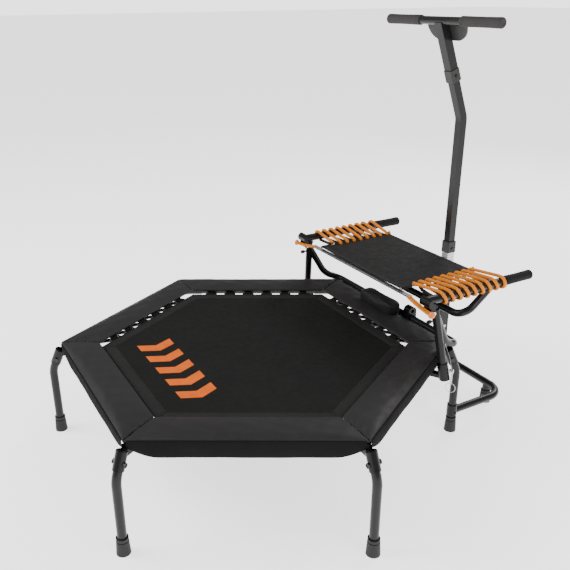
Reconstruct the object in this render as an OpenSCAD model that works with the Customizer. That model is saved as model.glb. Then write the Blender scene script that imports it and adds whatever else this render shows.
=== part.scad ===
// Mini trampoline with a bungee-laced step platform and a telescopic T-handle.
// Origin: on the floor, under the middle of the whole footprint.
// +Y points from the jumping mat to the step and the handle, +X to the jumper's right.

/* [Trampoline] */
// Height of the top of the edge pads above the floor
pad_top = 343; // [300:1:400]
// Corner radius of the outer crease of the edge pads
pad_outer_r = 647; // [560:1:760]
// Corner radius of the inner edge of the edge pads
pad_inner_r = 510; // [440:1:540]
// Thickness of an edge pad
pad_t = 9; // [6:0.5:10]
// Depth of the pad skirt below the pad's top
skirt_h = 58; // [40:1:64]
// Length of skirt left open each side of a corner
skirt_gap = 34; // [30:1:60]
// Diameter of the hexagon tube
ring_d = 34; // [28:0.5:38]
// Distance from the skirt's inner face to the hexagon tube
ring_inset = 8.3; // [7:0.1:16]
// Wall thickness of all round tubes
wall = 2; // [1.2:0.1:3]
// Distance from the pad's inner edge to the mat's edge
mat_inset = 4.7; // [2:0.1:30]
// Thickness of the mat sheet
mat_t = 3; // [1.5:0.1:4]
// Width of the sewn border of the mat
border_w = 39; // [20:1:60]
// Height of the mat's top below the pad's top
mat_drop = 18; // [14:0.5:26]
// Bungee loops on each side of the hexagon
loops_per_side = 6; // [4:1:7]
// Width of a bungee loop
loop_w = 34; // [16:1:40]
// Thickness of the bungee cord
loop_t = 6; // [4:0.5:7]

/* [Legs] */
// Diameter of a leg tube
leg_d = 27; // [22:0.5:32]
// Distance of the legs' lower ends from the mat's middle
leg_r = 681; // [600:1:800]
// Height of the knee of a leg
knee_z = 238; // [200:1:250]
// Lean of the leg above the knee
knee_angle = 23.5; // [15:0.5:28]
// Bend radius of the knee
knee_bend = 90; // [50:5:150]
// Height of a rubber foot
foot_h = 54; // [30:1:55]
// Diameter of a rubber foot on the floor
foot_d = 41; // [34:0.5:50]

/* [Handle base] */
// Height of the middle of the base tube
base_z = 77; // [66:1:90]
// Distance of the handle pole behind the mat's middle
pole_y = 834; // [780:1:960]
// Bend radius of the base tube's corners
base_bend = 65; // [40:1:100]
// Distance of a base foot from the middle plane
base_foot_x = 262; // [150:1:262]

/* [Handle] */
// Outer width of the square base post
base_post_w = 36; // [34:0.5:42]
// Top of the base post
base_post_top = 440; // [360:1:460]
// Outer width of the graduated tube and of the stem
outer_w = 32; // [30:0.5:33]
// Outer width of the bent inner tube
inner_w = 28; // [24:0.5:28]
// Wall thickness of the square tubes
square_wall = 1.7; // [1.2:0.1:1.8]
// Running clearance on each side of a sliding tube
slide_gap = 0.3; // [0.2:0.05:0.5]
// Top of the graduated tube
scale_top = 540; // [480:1:560]
// Lower end of the bent tube
bent_bottom = 300; // [280:1:340]
// Height of the bend in the bent tube
bend_z = 1006; // [900:1:1100]
// Lean of the handle above the bend, towards the jumper
handle_lean = 22; // [10:1:30]
// Distance along the leaning tube from the bend to the stem's lower end
stem_start = 144; // [130:1:200]
// Distance along the leaning tube from the bend to the handlebar
bar_s = 344; // [330:1:420]
// Length of bent tube inside the stem
stem_overlap = 106; // [80:1:110]
// Height of a collar
collar_h = 42; // [30:1:50]
// Outer width of a collar
collar_w = 38; // [37:0.5:44]
// Overall width of the handlebar
bar_len = 530; // [400:5:700]
// Diameter of the handlebar tube
bar_d = 26; // [20:0.5:30]
// Length of a handlebar grip
bar_grip_len = 170; // [100:5:180]
// Diameter of all grips
grip_d = 33; // [32:0.5:40]

/* [Step] */
// Distance of a step rail from the middle plane
rail_x = 350; // [330:1:380]
// Height of the step rails
rail_z = 530; // [520:1:560]
// Front end of a step rail, from the mat's middle
rail_front = 421; // [415:1:425]
// Rear end of a rail grip, from the mat's middle
rail_end = 874; // [860:1:960]
// Diameter of a step rail
rail_d = 28; // [24:0.5:30]
// Length of a rail grip
rail_grip_len = 120; // [90:1:122]
// Width of the step mat between its side rods
step_w = 466; // [400:1:500]
// Front edge of the step mat, from the mat's middle
step_front = 418; // [410:1:430]
// Length of the step mat
step_len = 316; // [300:1:330]
// Lacing turns on each side of the step mat
lace_count = 9; // [5:1:9]
// Spacing of the lacing turns
lace_pitch = 31.5; // [28:0.5:32]
// Thickness of the lacing cord
lace_d = 11; // [8:0.5:12]
// Height of the cross tube
cross_z = 437; // [425:1:450]
// Distance of the cross tube from the mat's middle
cross_y = 585; // [570:1:600]
// Diameter of the cross tube and of the curved brace
brace_d = 25; // [20:0.5:27]
// Diameter of a step post
post_d = 26; // [22:0.5:27]

/* [Hidden] */
$fn = 48;

black = [0.07, 0.07, 0.07];
satin = [0.14, 0.14, 0.14];
fabric = [0.11, 0.11, 0.11];
grey = [0.3, 0.3, 0.29];
steel = [0.72, 0.72, 0.74];
orange = [0.92, 0.5, 0.15];

far = 1000;
cos30 = cos(30);
// The mat's middle lies in front of the footprint's middle
leg_y = leg_r * sin(60);
mat_y = (leg_y + foot_d / 2 - rail_end) / 2;
edge_angles = [0, 60, 120, 180, 240, 300];

// Heights and apothems of the hexagon
pad_under = pad_top - pad_t;
pad_outer_a = pad_outer_r * cos30;
pad_inner_a = pad_inner_r * cos30;
ring_a = pad_outer_a - pad_t - ring_inset - ring_d / 2;
ring_r = ring_a / cos30;
ring_z = pad_under - loop_t - ring_d / 2 - 2;
mat_a = pad_inner_a - mat_inset;
mat_top = pad_top - mat_drop;
elbow_wall = 2;
elbow_d = ring_d + 2 * elbow_wall;
elbow_arm = 76;
elbow_bend = 60;
ring_setback = 37;
border_t = 1.4;
// Clear length at both ends of a side, without loops
loop_margin = 70;
loop_span = (mat_a / cos30 - loop_margin) / loops_per_side;
anchor_d = 5;
anchor_reach = 13;
anchor_a = mat_a + anchor_reach;
anchor_z = mat_top - anchor_d / 2;

// Leg: the knee lies where the leaning and the upright stretches meet
leg_top_z = pad_under - 18;
leg_lean = (leg_top_z - knee_z) * tan(knee_angle);
socket_d = leg_d + 6;
socket_len = 54;
socket_rib = [22, 26];
leg_bolt_s = 36;
head_t = 5;
leg_head_d = 15;
// Play across a tube that sits in a sleeve
fit = 0.2;
// Length of tube inside a rubber foot, and the foot's groove
foot_grip = 34;
foot_cuff = 10;
foot_groove = 3;

base_x = leg_r * cos(60);
clamp_d = leg_d + 8;
clamp_h = 40;
clamp_lift = 6;
base_gusset = [70, 110, 18, 5];

// Handle
scale_bottom = base_z + leg_d / 2 + 6;
screw_zs = [base_z + 130, base_post_top - 26];
screw_head = [11, 3];
pin_r = 3;
pin_play = 0.1;
pin_head_d = 10;
collar_lip = 8;
collar_top_gap = 12;
lock_z = scale_top - 14;
tube_bend = 60;
grip_end = 6;
gusset_w = 180;
gusset_h = 62;
gusset_t = 7;
gusset_lobe = 0.28 * gusset_w;

// Step
post_base = [408, 469, pad_top - skirt_h];
post_top = [364, 447, rail_z - 26];
pivot_y = 424;
pivot_z = rail_z - 30;
barrel_d = 18;
lug_t = 5;
lug_gap = 0.5;
bolt_d = 8;
bolt_head_d = 14;
buffer_d = 22;
lug_d = 20;
lug_w = 16;
cross_bend = 48;
cross_run = 120;
spreader = [18, 4, 9];
ball_d = 18;
tether_d = 9;
edge_bar_y = pad_outer_a + 6 + brace_d / 2;
edge_bar_z = pad_top - 5;
lace_start = step_front + 54;
rod_d = 6;
hem_d = 12;
step_z = rail_z + 0.5;

// Helpers ---------------------------------------------------------------

// Moves a part drawn about the mat's middle to its place in the footprint
module at_mat() translate([0, mat_y, 0]) children();

// Draws its children six times, turned to each side of the hexagon
module each_side() for (a = edge_angles) rotate(a) children();

// Draws its children on the right and, mirrored, on the left
module both_sides() {
    children();
    mirror([1, 0, 0]) children();
}

function unit(v) = v / norm(v);

// A round bar from p to q
module bar(p, q, d) {
    v = q - p;
    translate(p)
        rotate([0, acos(v[2] / norm(v)), atan2(v[1], v[0])])
            cylinder(h = norm(v), d = d);
}

// A box with its middle at c
module box(c, size) translate(c) cube(size, center = true);

// Arc of a bent bar at the corner b between a and c, with bend radius r
module bend(a, b, c, r, d) {
    u = unit(b - a);
    v = unit(c - b);
    turn = acos(u * v);
    n = unit(v - (u * v) * u);
    w = cross(u, n);
    m = b - u * r * tan(turn / 2) + n * r;
    multmatrix([[-n[0], u[0], w[0], m[0]], [-n[1], u[1], w[1], m[1]],
                [-n[2], u[2], w[2], m[2]], [0, 0, 0, 1]])
        rotate_extrude(angle = turn) translate([r, 0]) circle(d = d);
}

// Length that a bend takes off each straight stretch at corner i
function take(p, r, i) = i == 0 || i == len(p) - 1 ? 0
    : r[i] * tan(acos(unit(p[i] - p[i - 1]) * unit(p[i + 1] - p[i])) / 2);

// A bar bent along the points p, with bend radius r[i] at point i, longer by extra at both ends.
// The straight stretches lap into the bends, which are fuller by bend_ease all round.
lap = 0.6;
bend_ease = 0.1;
module bent_bar(p, r, d, extra = 0) {
    n = len(p) - 1;
    for (i = [0 : n - 1]) {
        u = unit(p[i + 1] - p[i]);
        from = p[i] + u * (i == 0 ? -extra : take(p, r, i) - lap);
        to = p[i + 1] - u * (i == n - 1 ? -extra : take(p, r, i + 1) - lap);
        bar(from, to, d);
    }
    for (i = [1 : n - 1]) bend(p[i - 1], p[i], p[i + 1], r[i], d + 2 * bend_ease);
}

// A bent tube: a bent bar less its bore
module bent_tube_shape(p, r, d, w) difference() {
    bent_bar(p, r, d);
    bent_bar(p, r, d - 2 * w, 1);
}

// A straight tube from p to q
module tube(p, q, d, w) difference() {
    bar(p, q, d);
    bar(p - unit(q - p), q + unit(q - p), d - 2 * w);
}

// A square tube standing on z0, up to z1
module square_tube(z0, z1, w, t) difference() {
    translate([-w / 2, -w / 2, z0]) cube([w, w, z1 - z0]);
    translate([-w / 2 + t, -w / 2 + t, z0 - 1]) cube([w - 2 * t, w - 2 * t, z1 - z0 + 2]);
}

// A flat band wrapped round two circles in the XZ plane, wide along Y.
// Circle 1 has its middle at [x1, z1] and radius r1, circle 2 at [x2, z2] with radius r2.
module wrap(x1, z1, r1, x2, z2, r2, t, w) {
    translate([0, w / 2, 0]) rotate([90, 0, 0]) linear_extrude(w) difference() {
        wrap_outline(x1, z1, r1 + t, x2, z2, r2 + t);
        wrap_outline(x1, z1, r1, x2, z2, r2);
    }
}

// Points of an arc of radius r round [x, z], from angle a0 to a1 in even steps
function arc(x, z, r, a0, a1, steps) =
    [for (i = [0 : steps]) [x, z] + r * [cos(a0 + (a1 - a0) * i / steps),
                                         sin(a0 + (a1 - a0) * i / steps)]];

// Outline of a belt round two circles: the far arc of each, joined by the tangents
module wrap_outline(x1, z1, r1, x2, z2, r2) {
    dir = atan2(z2 - z1, x2 - x1);
    swing = acos((r1 - r2) / norm([x2 - x1, z2 - z1]));
    polygon(concat(arc(x1, z1, r1, dir + swing, dir + 360 - swing, wrap_steps),
                   arc(x2, z2, r2, dir - swing, dir + swing, wrap_steps)));
}
wrap_steps = 14;

// Hexagon outline with a corner on the X axis
module hexagon(a) polygon([for (i = [0 : 5]) a / cos30 * [cos(60 * i), sin(60 * i)]]);

// Trampoline ------------------------------------------------------------

// The side of the hexagon that each_side() turns lies across the -Y axis
module ring_tubes() color(satin) at_mat() each_side()
    tube([-ring_r / 2 + ring_setback, -ring_a, ring_z],
         [ring_r / 2 - ring_setback, -ring_a, ring_z], ring_d, wall);

// Points of the elbow at the corner on the X axis
function elbow_path(extra = 0) = [
    [ring_r - (elbow_arm + extra) * cos(60), -(elbow_arm + extra) * sin(60), ring_z],
    [ring_r, 0, ring_z],
    [ring_r - (elbow_arm + extra) * cos(60), (elbow_arm + extra) * sin(60), ring_z]];

module corner_elbows() color(black) at_mat() each_side() difference() {
    bent_bar(elbow_path(), [0, elbow_bend, 0], elbow_d);
    bent_bar(elbow_path(1), [0, elbow_bend, 0], ring_d + fit);
}

// Points of the leg at the corner on the X axis, from the top down
function leg_path() = [[leg_r - leg_lean, 0, leg_top_z], [leg_r, 0, knee_z],
                       [leg_r, 0, foot_h - foot_grip]];
leg_dir = unit(leg_path()[1] - leg_path()[0]);

module leg(angle) color(satin) at_mat() rotate(angle) difference() {
    bent_bar(leg_path(), [0, knee_bend, 0], leg_d);
    bent_bar(leg_path(), [0, knee_bend, 0], leg_d - 2 * wall, 1);
    leg_bolt_hole();
    if (angle == 60 || angle == 120) base_bolt_hole(angle);
}
module leg_front_left() leg(240);
module leg_front_right() leg(300);
module leg_side_left() leg(180);
module leg_side_right() leg(0);
module leg_step_left() leg(120);
module leg_step_right() leg(60);

// Middle of the bolt that holds a leg in its socket, and the bolt's direction along Y
bolt_at = leg_path()[0] + leg_bolt_s * leg_dir;
module leg_bolt_hole() bar(bolt_at - [0, socket_d, 0], bolt_at + [0, socket_d, 0], bolt_d + fit);

// A slanted sleeve with a rib that is welded to the outside of the corner elbow
module leg_sockets() color(black) at_mat() each_side() difference() {
    union() {
        bar(leg_path()[0] + 2 * leg_dir, leg_path()[0] + (socket_len + 2) * leg_dir, socket_d);
        box([(ring_r + leg_r - leg_lean) / 2, 0, ring_z],
            [leg_r - leg_lean - ring_r, socket_rib[0], socket_rib[1]]);
    }
    bar(leg_path()[0] - socket_len * leg_dir, leg_path()[0] + 2 * socket_len * leg_dir,
        leg_d + fit);
    bent_bar(elbow_path(1), [0, elbow_bend, 0], elbow_d);
    leg_bolt_hole();
}

module leg_bolts() color(steel) at_mat() each_side() {
    reach = socket_d / 2 + head_t;
    bar(bolt_at - [0, reach - 1, 0], bolt_at + [0, reach - 1, 0], bolt_d);
    for (s = [-1, 1]) difference() {
        bar(bolt_at + [0, s * socket_d / 2, 0], bolt_at + [0, s * reach, 0], leg_head_d);
        bar(bolt_at, bolt_at + [0, 2 * s * reach, 0], bolt_d);
    }
}

// A tapered rubber foot with a groove, its bore closed by the sole
module rubber_foot(top_d, h) difference() {
    union() {
        cylinder(h = h - foot_cuff - 2, d1 = foot_d, d2 = top_d + 1, $fn = 64);
        translate([0, 0, h - foot_cuff]) cylinder(h = foot_cuff, d = top_d);
        translate([0, 0, h - foot_cuff - 3]) cylinder(h = 4, d = top_d - foot_groove);
    }
    translate([0, 0, h - foot_grip]) cylinder(h = 2 * foot_grip, d = leg_d + fit);
}

module leg_feet() color(black) at_mat() each_side() translate([leg_r, 0, 0])
    rubber_foot(leg_d + 8, foot_h);

module jump_mat() color(fabric) at_mat() translate([0, 0, mat_top - mat_t])
    linear_extrude(mat_t) hexagon(mat_a);

module mat_border() color(grey) at_mat() translate([0, 0, mat_top]) linear_extrude(border_t)
    difference() {
        hexagon(mat_a);
        hexagon(mat_a - border_w);
    }

function loop_x(i) = (i - (loops_per_side - 1) / 2) * loop_span;

// A buckle on the mat's edge: a strip, two arms and the bar that the bungee loop goes round
module mat_anchors() color(black) at_mat() each_side() for (i = [0 : loops_per_side - 1])
    translate([loop_x(i), -mat_a, anchor_z]) {
        box([0, -2, 0], [loop_w + 10, 4, anchor_d]);
        for (s = [-1, 1]) box([s * (loop_w / 2 + 3), 3 - anchor_reach + 2, 0],
                              [3, anchor_reach + 3, anchor_d]);
        bar([-loop_w / 2 - 4, -anchor_reach, 0], [loop_w / 2 + 4, -anchor_reach, 0], anchor_d);
    }

module bungee_loops() color(black) at_mat() each_side() for (i = [0 : loops_per_side - 1])
    translate([loop_x(i), 0, 0]) rotate(-90)
        wrap(ring_a, ring_z, ring_d / 2 + fit, anchor_a, anchor_z, anchor_d / 2 + fit,
             loop_t, loop_w);

// One edge pad: the top panel, mitred at both corners, and the skirt in front of it
module pad(angle) color(fabric) at_mat() rotate(angle) {
    mitre = 0.4;
    x_in = pad_inner_r / 2 - mitre;
    x_out = pad_outer_r / 2 - mitre;
    translate([0, 0, pad_under]) linear_extrude(pad_t)
        polygon([[-x_in, -pad_inner_a], [x_in, -pad_inner_a],
                 [x_out, -pad_outer_a], [-x_out, -pad_outer_a]]);
    box([0, -pad_outer_a + pad_t / 2, pad_under - (skirt_h - pad_t) / 2],
        [2 * (x_out - skirt_gap), pad_t, skirt_h - pad_t]);
}
module pad_front() pad(0);
module pad_front_right() pad(60);
module pad_step_right() pad(120);
module pad_step() pad(180);
module pad_step_left() pad(240);
module pad_front_left() pad(300);

// Handle base -----------------------------------------------------------

clamp_face = leg_y + clamp_d / 2;
base_path = [[base_x, clamp_face - 4, base_z], [base_x, pole_y, base_z],
             [-base_x, pole_y, base_z], [-base_x, clamp_face - 4, base_z]];

module base_tube() color(satin) at_mat() difference() {
    bent_tube_shape(base_path, [0, base_bend, base_bend, 0], leg_d, wall);
    both_sides() translate([base_x, leg_y, 0]) cylinder(h = 2 * base_z, d = clamp_d);
}

// The bolt through a step leg and its base clamp, in the leg's own turned frame
module base_bolt_hole(angle) translate([leg_r, 0, base_z]) rotate(-angle)
    bar([0, 0, 0], [angle == 60 ? 40 : -40, 0, 0], bolt_d + fit);

// Sleeves round the two legs on the step side, which carry the base tube
module base_clamps() color(black) at_mat() both_sides() difference() {
    translate([base_x, leg_y, base_z - clamp_h / 2 + clamp_lift])
        cylinder(h = clamp_h, d = clamp_d);
    translate([base_x, leg_y, 0]) cylinder(h = 2 * base_z, d = leg_d + fit);
    bar([base_x, leg_y, base_z], [base_x + 40, leg_y, base_z], bolt_d + fit);
}

module base_stubs() color(satin) at_mat() both_sides() difference() {
    bar([base_foot_x, pole_y, 16], [base_foot_x, pole_y, base_z], leg_d);
    bar([0, pole_y, base_z], [far, pole_y, base_z], leg_d);
}

module base_feet() color(black) at_mat() both_sides() translate([base_foot_x, pole_y, 0])
    rubber_foot(leg_d + 8, foot_h - 6);

// Handle ----------------------------------------------------------------

// Cuts the seat of the base tube's back run
module base_run_cut() bar([-far, pole_y, base_z], [far, pole_y, base_z], leg_d);

module base_post() color(black) at_mat() difference() {
    translate([0, pole_y, 0])
        square_tube(base_z, base_post_top, base_post_w,
                    (base_post_w - outer_w) / 2 - fit / 2);
    base_run_cut();
    scale_screw_holes(base_post_w / 2 + 1);
}

// Two ribs that brace the base post on the base tube
module base_gussets() color(black) at_mat() difference() {
    both_sides() translate([base_post_w / 2, pole_y + base_gusset[3] / 2, base_z])
        rotate([90, 0, 0]) linear_extrude(base_gusset[3])
            polygon([[0, 0], [base_gusset[0], 0], [base_gusset[0], base_gusset[2]],
                     [0, base_gusset[1]]]);
    base_run_cut();
}

module scale_screw_holes(reach) for (z = screw_zs)
    bar([0, pole_y, z], [reach, pole_y, z], 2 * pin_r);

module scale_tube() color(steel) at_mat() difference() {
    translate([0, pole_y, 0]) square_tube(scale_bottom, scale_top, outer_w, square_wall);
    bar([0, pole_y, lock_z], [outer_w, pole_y, lock_z], 2 * (pin_r + pin_play));
    scale_screw_holes(outer_w);
}

// Short screws that hold the graduated tube in the base post
module scale_screws() color(steel) at_mat() for (z = screw_zs) difference() {
    union() {
        bar([outer_w / 2 - square_wall, pole_y, z], [base_post_w / 2, pole_y, z], 2 * pin_r);
        bar([base_post_w / 2, pole_y, z], [base_post_w / 2 + screw_head[1], pole_y, z],
            screw_head[0]);
    }
    bar([base_post_w / 2 + 1, pole_y, z], [base_post_w, pole_y, z], screw_head[0] / 2);
}

// A collar from 0 up to collar_h: it grips the outer tube and closes on the inner one
module collar(lip_at_top) {
    lip = [inner_w + 2 * slide_gap, inner_w + 2 * slide_gap, 3 * collar_h];
    seat = outer_w + fit;
    seat_h = collar_h - collar_lip;
    difference() {
        intersection() {
            box([0, 0, collar_h / 2], [collar_w, collar_w, collar_h]);
            cylinder(h = collar_h, d = collar_w * 1.32, $fn = 96);
        }
        box([0, 0, 0], lip);
        translate([-seat / 2, -seat / 2, lip_at_top ? -1 : collar_lip])
            cube([seat, seat, seat_h + 1]);
    }
}

module lower_collar() color(grey) at_mat() difference() {
    translate([0, pole_y, scale_top + collar_top_gap - collar_h]) collar(true);
    bar([0, pole_y, lock_z], [collar_w, pole_y, lock_z], 2 * (pin_r + pin_play));
}

// A spring lock pin: its shank goes through the collar and the outer tube's wall
module lock_pin() {
    bar([inner_w / 2 + slide_gap, 0, 0], [collar_w / 2 + 1, 0, 0], 2 * pin_r);
    bar([collar_w / 2 + 0.3, 0, 0], [collar_w / 2 + 4, 0, 0], pin_head_d);
}
module lower_lock_pin() color(steel) at_mat() translate([0, pole_y, lock_z]) lock_pin();

// Frame of the leaning part of the handle: origin at the bend, +Z along the leaning tube
module along_lean() at_mat() translate([0, pole_y, bend_z]) rotate([handle_lean, 0, 0])
    children();

tube_take = tube_bend * tan(handle_lean / 2);
bent_end = stem_start + stem_overlap;

// The solid outline of the bent square tube, w wide and longer by extra at both ends
module bent_square(w, extra) {
    at_mat() translate([-w / 2, pole_y - w / 2, bent_bottom - extra])
        cube([w, w, bend_z - tube_take - bent_bottom + extra]);
    along_lean() translate([-w / 2, -w / 2, tube_take])
        cube([w, w, bent_end - tube_take + extra]);
    at_mat() translate([0, pole_y - tube_bend, bend_z - tube_take]) rotate([0, 90, 0])
        rotate([0, 0, 90]) rotate_extrude(angle = handle_lean, $fn = 96)
            translate([tube_bend, 0]) square(w, center = true);
}

module bent_tube() color(black) difference() {
    bent_square(inner_w, 0);
    bent_square(inner_w - 2 * square_wall, 1);
}

stem_lock_s = stem_start + 12;
module stem_tube() color(black) difference() {
    along_lean() square_tube(stem_start, bar_s, outer_w, square_wall);
    along_lean() bar([-far, 0, bar_s], [far, 0, bar_s], bar_d);
    along_lean() bar([0, 0, stem_lock_s], [outer_w, 0, stem_lock_s], 2 * (pin_r + pin_play));
}

module upper_collar() color(grey) along_lean() difference() {
    translate([0, 0, stem_start - collar_lip]) collar(false);
    bar([0, 0, stem_lock_s], [collar_w, 0, stem_lock_s], 2 * (pin_r + pin_play));
}

module upper_lock_pin() color(steel) along_lean() translate([0, 0, stem_lock_s]) lock_pin();

module handlebar() color(satin) along_lean()
    tube([-bar_len / 2 + grip_end, 0, bar_s], [bar_len / 2 - grip_end, 0, bar_s], bar_d, wall);

// A half-round plate under the bar, behind the stem
module bar_gusset() color(grey) along_lean()
    translate([0, outer_w / 2 + gusset_t, bar_s - bar_d / 2 + 2])
        rotate([90, 0, 0]) linear_extrude(gusset_t) intersection() {
            flat_w = gusset_w - 2 * gusset_lobe;
            low = gusset_lobe - gusset_h;
            translate([-gusset_w / 2, -gusset_h]) square([gusset_w, gusset_h]);
            union() {
                translate([0, low]) square([flat_w, gusset_w], center = true);
                for (s = [-1, 1]) translate([s * flat_w / 2, low])
                    circle(r = gusset_lobe, $fn = 96);
                translate([-gusset_w / 2, low]) square([gusset_w, gusset_h]);
            }
        }

// A foam grip from s = 0 to length len along +X, closed and rounded at its outer end
module grip(len, bore) difference() {
    union() {
        bar([0, 0, 0], [len - 6, 0, 0], grip_d);
        translate([len - 6, 0, 0]) rotate([0, 90, 0]) rotate_extrude() intersection() {
            union() {
                square([grip_d / 2 - 6, 6]);
                translate([grip_d / 2 - 6, 0]) circle(r = 6);
            }
            square([grip_d, 6]);
        }
    }
    bar([-1, 0, 0], [len - grip_end, 0, 0], bore + fit);
}

module bar_grips() color(grey) along_lean() both_sides()
    translate([bar_len / 2 - bar_grip_len, 0, bar_s]) grip(bar_grip_len, bar_d);

// Step posts and their fixings -------------------------------------------

post_dir = unit(post_top - post_base);
function on_post(z) = post_base + (post_top - post_base) * (z - post_base[2])
    / (post_top[2] - post_base[2]);

module post_bar(d, extra = 0)
    bar(on_post(post_base[2] - extra), on_post(post_top[2] + extra), d);

plunger_z = rail_z - 62;
plunger_at = on_post(plunger_z);
side_dir = [cos30, 0.5, 0];
lock_pin_z = pad_top - 38;
lock_pin_at = on_post(lock_pin_z);
module lock_pin_hole() bar(lock_pin_at - post_d * side_dir, lock_pin_at + 1.5 * post_d * side_dir,
                           2 * (pin_r + pin_play));

module step_posts() color(satin) at_mat() both_sides() difference() {
    post_bar(post_d);
    bar(on_post(post_base[2] - 5), on_post(post_top[2] - 4), post_d - 2 * wall);
    box([post_top[0], post_top[1], post_top[2] + 50], [100, 100, 100]);
    box([post_base[0], post_base[1], post_base[2] - 49], [100, 100, 100]);
    bar(plunger_at, plunger_at - [0, 1.5 * post_d, 0], 2 * (pin_r + pin_play));
    lock_pin_hole();
}

// A sleeve round a post's lower end, on an arm that passes under the skirt to the hexagon
socket_z0 = pad_top - skirt_h - 15;
arm_t = 12;
module post_sockets() color(black) at_mat() both_sides() difference() {
    union() {
        bar(on_post(socket_z0), on_post(pad_top - 18), post_d + 8);
        rotate(30) translate([ring_a - arm_t, arm_x, socket_z0]) {
            cube([post_a + 4 - ring_a + arm_t, arm_w, arm_t]);
            cube([2 * arm_t, arm_w, ring_z - socket_z0]);
        }
    }
    post_bar(post_d + fit);
    rotate(30) bar([ring_a, -far, ring_z], [ring_a, far, ring_z], ring_d);
    box([post_base[0], post_base[1], socket_z0 - 50], [200, 200, 100]);
    lock_pin_hole();
}
// The post's foot along the side's normal, and the arm across it, between the last bungee loop
// and the corner elbow
post_a = on_post(socket_z0) * side_dir;
arm_w = 24;
arm_x = 199.5;

// A lock pin with a head, pulled out along the side's normal, and the tab that hangs from it
knob_d = 13;
tab = [4, 11, 44];
tab_s = 28.5;
module post_pin() difference() {
    union() {
        bar(lock_pin_at - 20 * side_dir, lock_pin_at + 32 * side_dir, 2 * pin_r);
        bar(lock_pin_at + 20 * side_dir, lock_pin_at + 33 * side_dir, knob_d);
        translate(lock_pin_at + tab_s * side_dir - [0, 0, tab[2] / 2 + pin_r]) rotate(30)
            cube(tab, center = true);
    }
    translate(lock_pin_at + tab_s * side_dir - [0, 0, tab[2] - pin_r]) rotate(30)
        rotate([0, 90, 0]) cylinder(h = 2 * tab[0], d = 4, center = true);
}
module post_pin_right() color(grey) at_mat() post_pin();
module post_pin_left() color(grey) at_mat() mirror([1, 0, 0]) post_pin();

// A thin wire from an eye on the post down to the lock pin's head
lanyard_d = 2;
eye_d = 5;
module lanyards() color(steel) at_mat() both_sides() {
    eye = on_post(pad_top + 52) + (post_d / 2 + eye_d / 2 + 0.6) * side_dir;
    low = lock_pin_at + (tab_s - 2) * side_dir + [0, 0, knob_d / 2 + lanyard_d / 2 + 0.2];
    bar(eye, low, lanyard_d);
    translate(eye) sphere(d = eye_d);
}

// A spring plunger in the front of a post, with a round pull knob
module post_plunger() {
    bar(plunger_at, plunger_at - [0, post_d / 2 + 20, 0], 2 * pin_r);
    translate(plunger_at - [0, post_d / 2 + 12, 0]) rotate([90, 0, 0])
        cylinder(h = 11, d = knob_d);
}
module post_plunger_right() color(black) at_mat() post_plunger();
module post_plunger_left() color(black) at_mat() mirror([1, 0, 0]) post_plunger();

// The curved brace: down from both posts, then along the outside of the step-side pad
brace_foot_x = 340;
brace_top = on_post(rail_z - 46);
brace_knee = [352, 515, pad_top + 22];
function flip(p) = [-p[0], p[1], p[2]];
brace_path = [brace_top, brace_knee, [brace_foot_x, edge_bar_y, edge_bar_z],
              [-brace_foot_x, edge_bar_y, edge_bar_z], flip(brace_knee), flip(brace_top)];
brace_bends = [0, 90, 36, 36, 90, 0];
module brace_tube() color(satin) at_mat() difference() {
    bent_tube_shape(brace_path, brace_bends, brace_d, wall);
    both_sides() post_bar(post_d, 20);
}

// Hooks from the hexagon tube, under the skirt, up to the brace
clip_x = 200.5;
module brace_clips() color(black) at_mat() both_sides() difference() {
    translate([clip_x, 0, 0]) rotate([90, 0, 90]) linear_extrude(arm_w)
        polygon([[ring_a - arm_t, ring_z], [ring_a - arm_t, socket_z0],
                 [edge_bar_y + arm_t, socket_z0], [edge_bar_y + arm_t, edge_bar_z],
                 [edge_bar_y - 4, edge_bar_z], [edge_bar_y - 4, socket_z0 + arm_t],
                 [ring_a + arm_t, socket_z0 + arm_t], [ring_a + arm_t, ring_z]]);
    bar([0, ring_a, ring_z], [far, ring_a, ring_z], ring_d);
    bar([0, edge_bar_y, edge_bar_z], [far, edge_bar_y, edge_bar_z], brace_d);
}

// A rounded bracket round the brace, beside the bumper
bracket = [86, 30, 26];
module edge_bracket() color(black) at_mat() difference() {
    w = brace_d + 10;
    translate([bracket[0], edge_bar_y, edge_bar_z]) rotate([0, 90, 0])
        linear_extrude(bracket[1]) union() {
            circle(d = w);
            translate([-bracket[2], -w / 2]) square([bracket[2], w]);
            translate([-bracket[2], 0]) circle(d = w);
        }
    bar([0, edge_bar_y, edge_bar_z], [far, edge_bar_y, edge_bar_z], brace_d + fit);
    translate([0, edge_bar_y, edge_bar_z + bracket[2] + 2]) bar([0, 0, 0], [far, 0, 0], 14);
}

// A foam block that lies on the step-side pad in front of the brace
bumper_x = [-105, 80];
bumper_w = 61;
bumper_h = 50;
module edge_bumper() color(fabric) at_mat() hull() {
    r = 14;
    for (x = [bumper_x[0] + r, bumper_x[1] - r])
        for (y = [pad_outer_a + 1 - bumper_w + r, pad_outer_a + 1 - r]) {
            translate([x, y, pad_top + 0.4]) cylinder(h = 10, r = r, $fn = 32);
            translate([x, y, pad_top + bumper_h - r]) sphere(r = r, $fn = 32);
        }
}

// Hinge of the step --------------------------------------------------------

barrel_x0 = post_top[0] - post_d / 2;
barrel_x1 = post_top[0] + post_d / 2;

// Bearing tubes on the front of both posts
module hinge_barrels() color(black) at_mat() both_sides() difference() {
    union() {
        bar([barrel_x0, pivot_y, pivot_z], [barrel_x1, pivot_y, pivot_z], barrel_d);
        translate([barrel_x0, pivot_y, pivot_z - 6])
            cube([post_d, post_top[1] - pivot_y, 10]);
    }
    bar([0, pivot_y, pivot_z], [far, pivot_y, pivot_z], bolt_d + 2 * pin_play);
    post_bar(post_d, 30);
}

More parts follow.
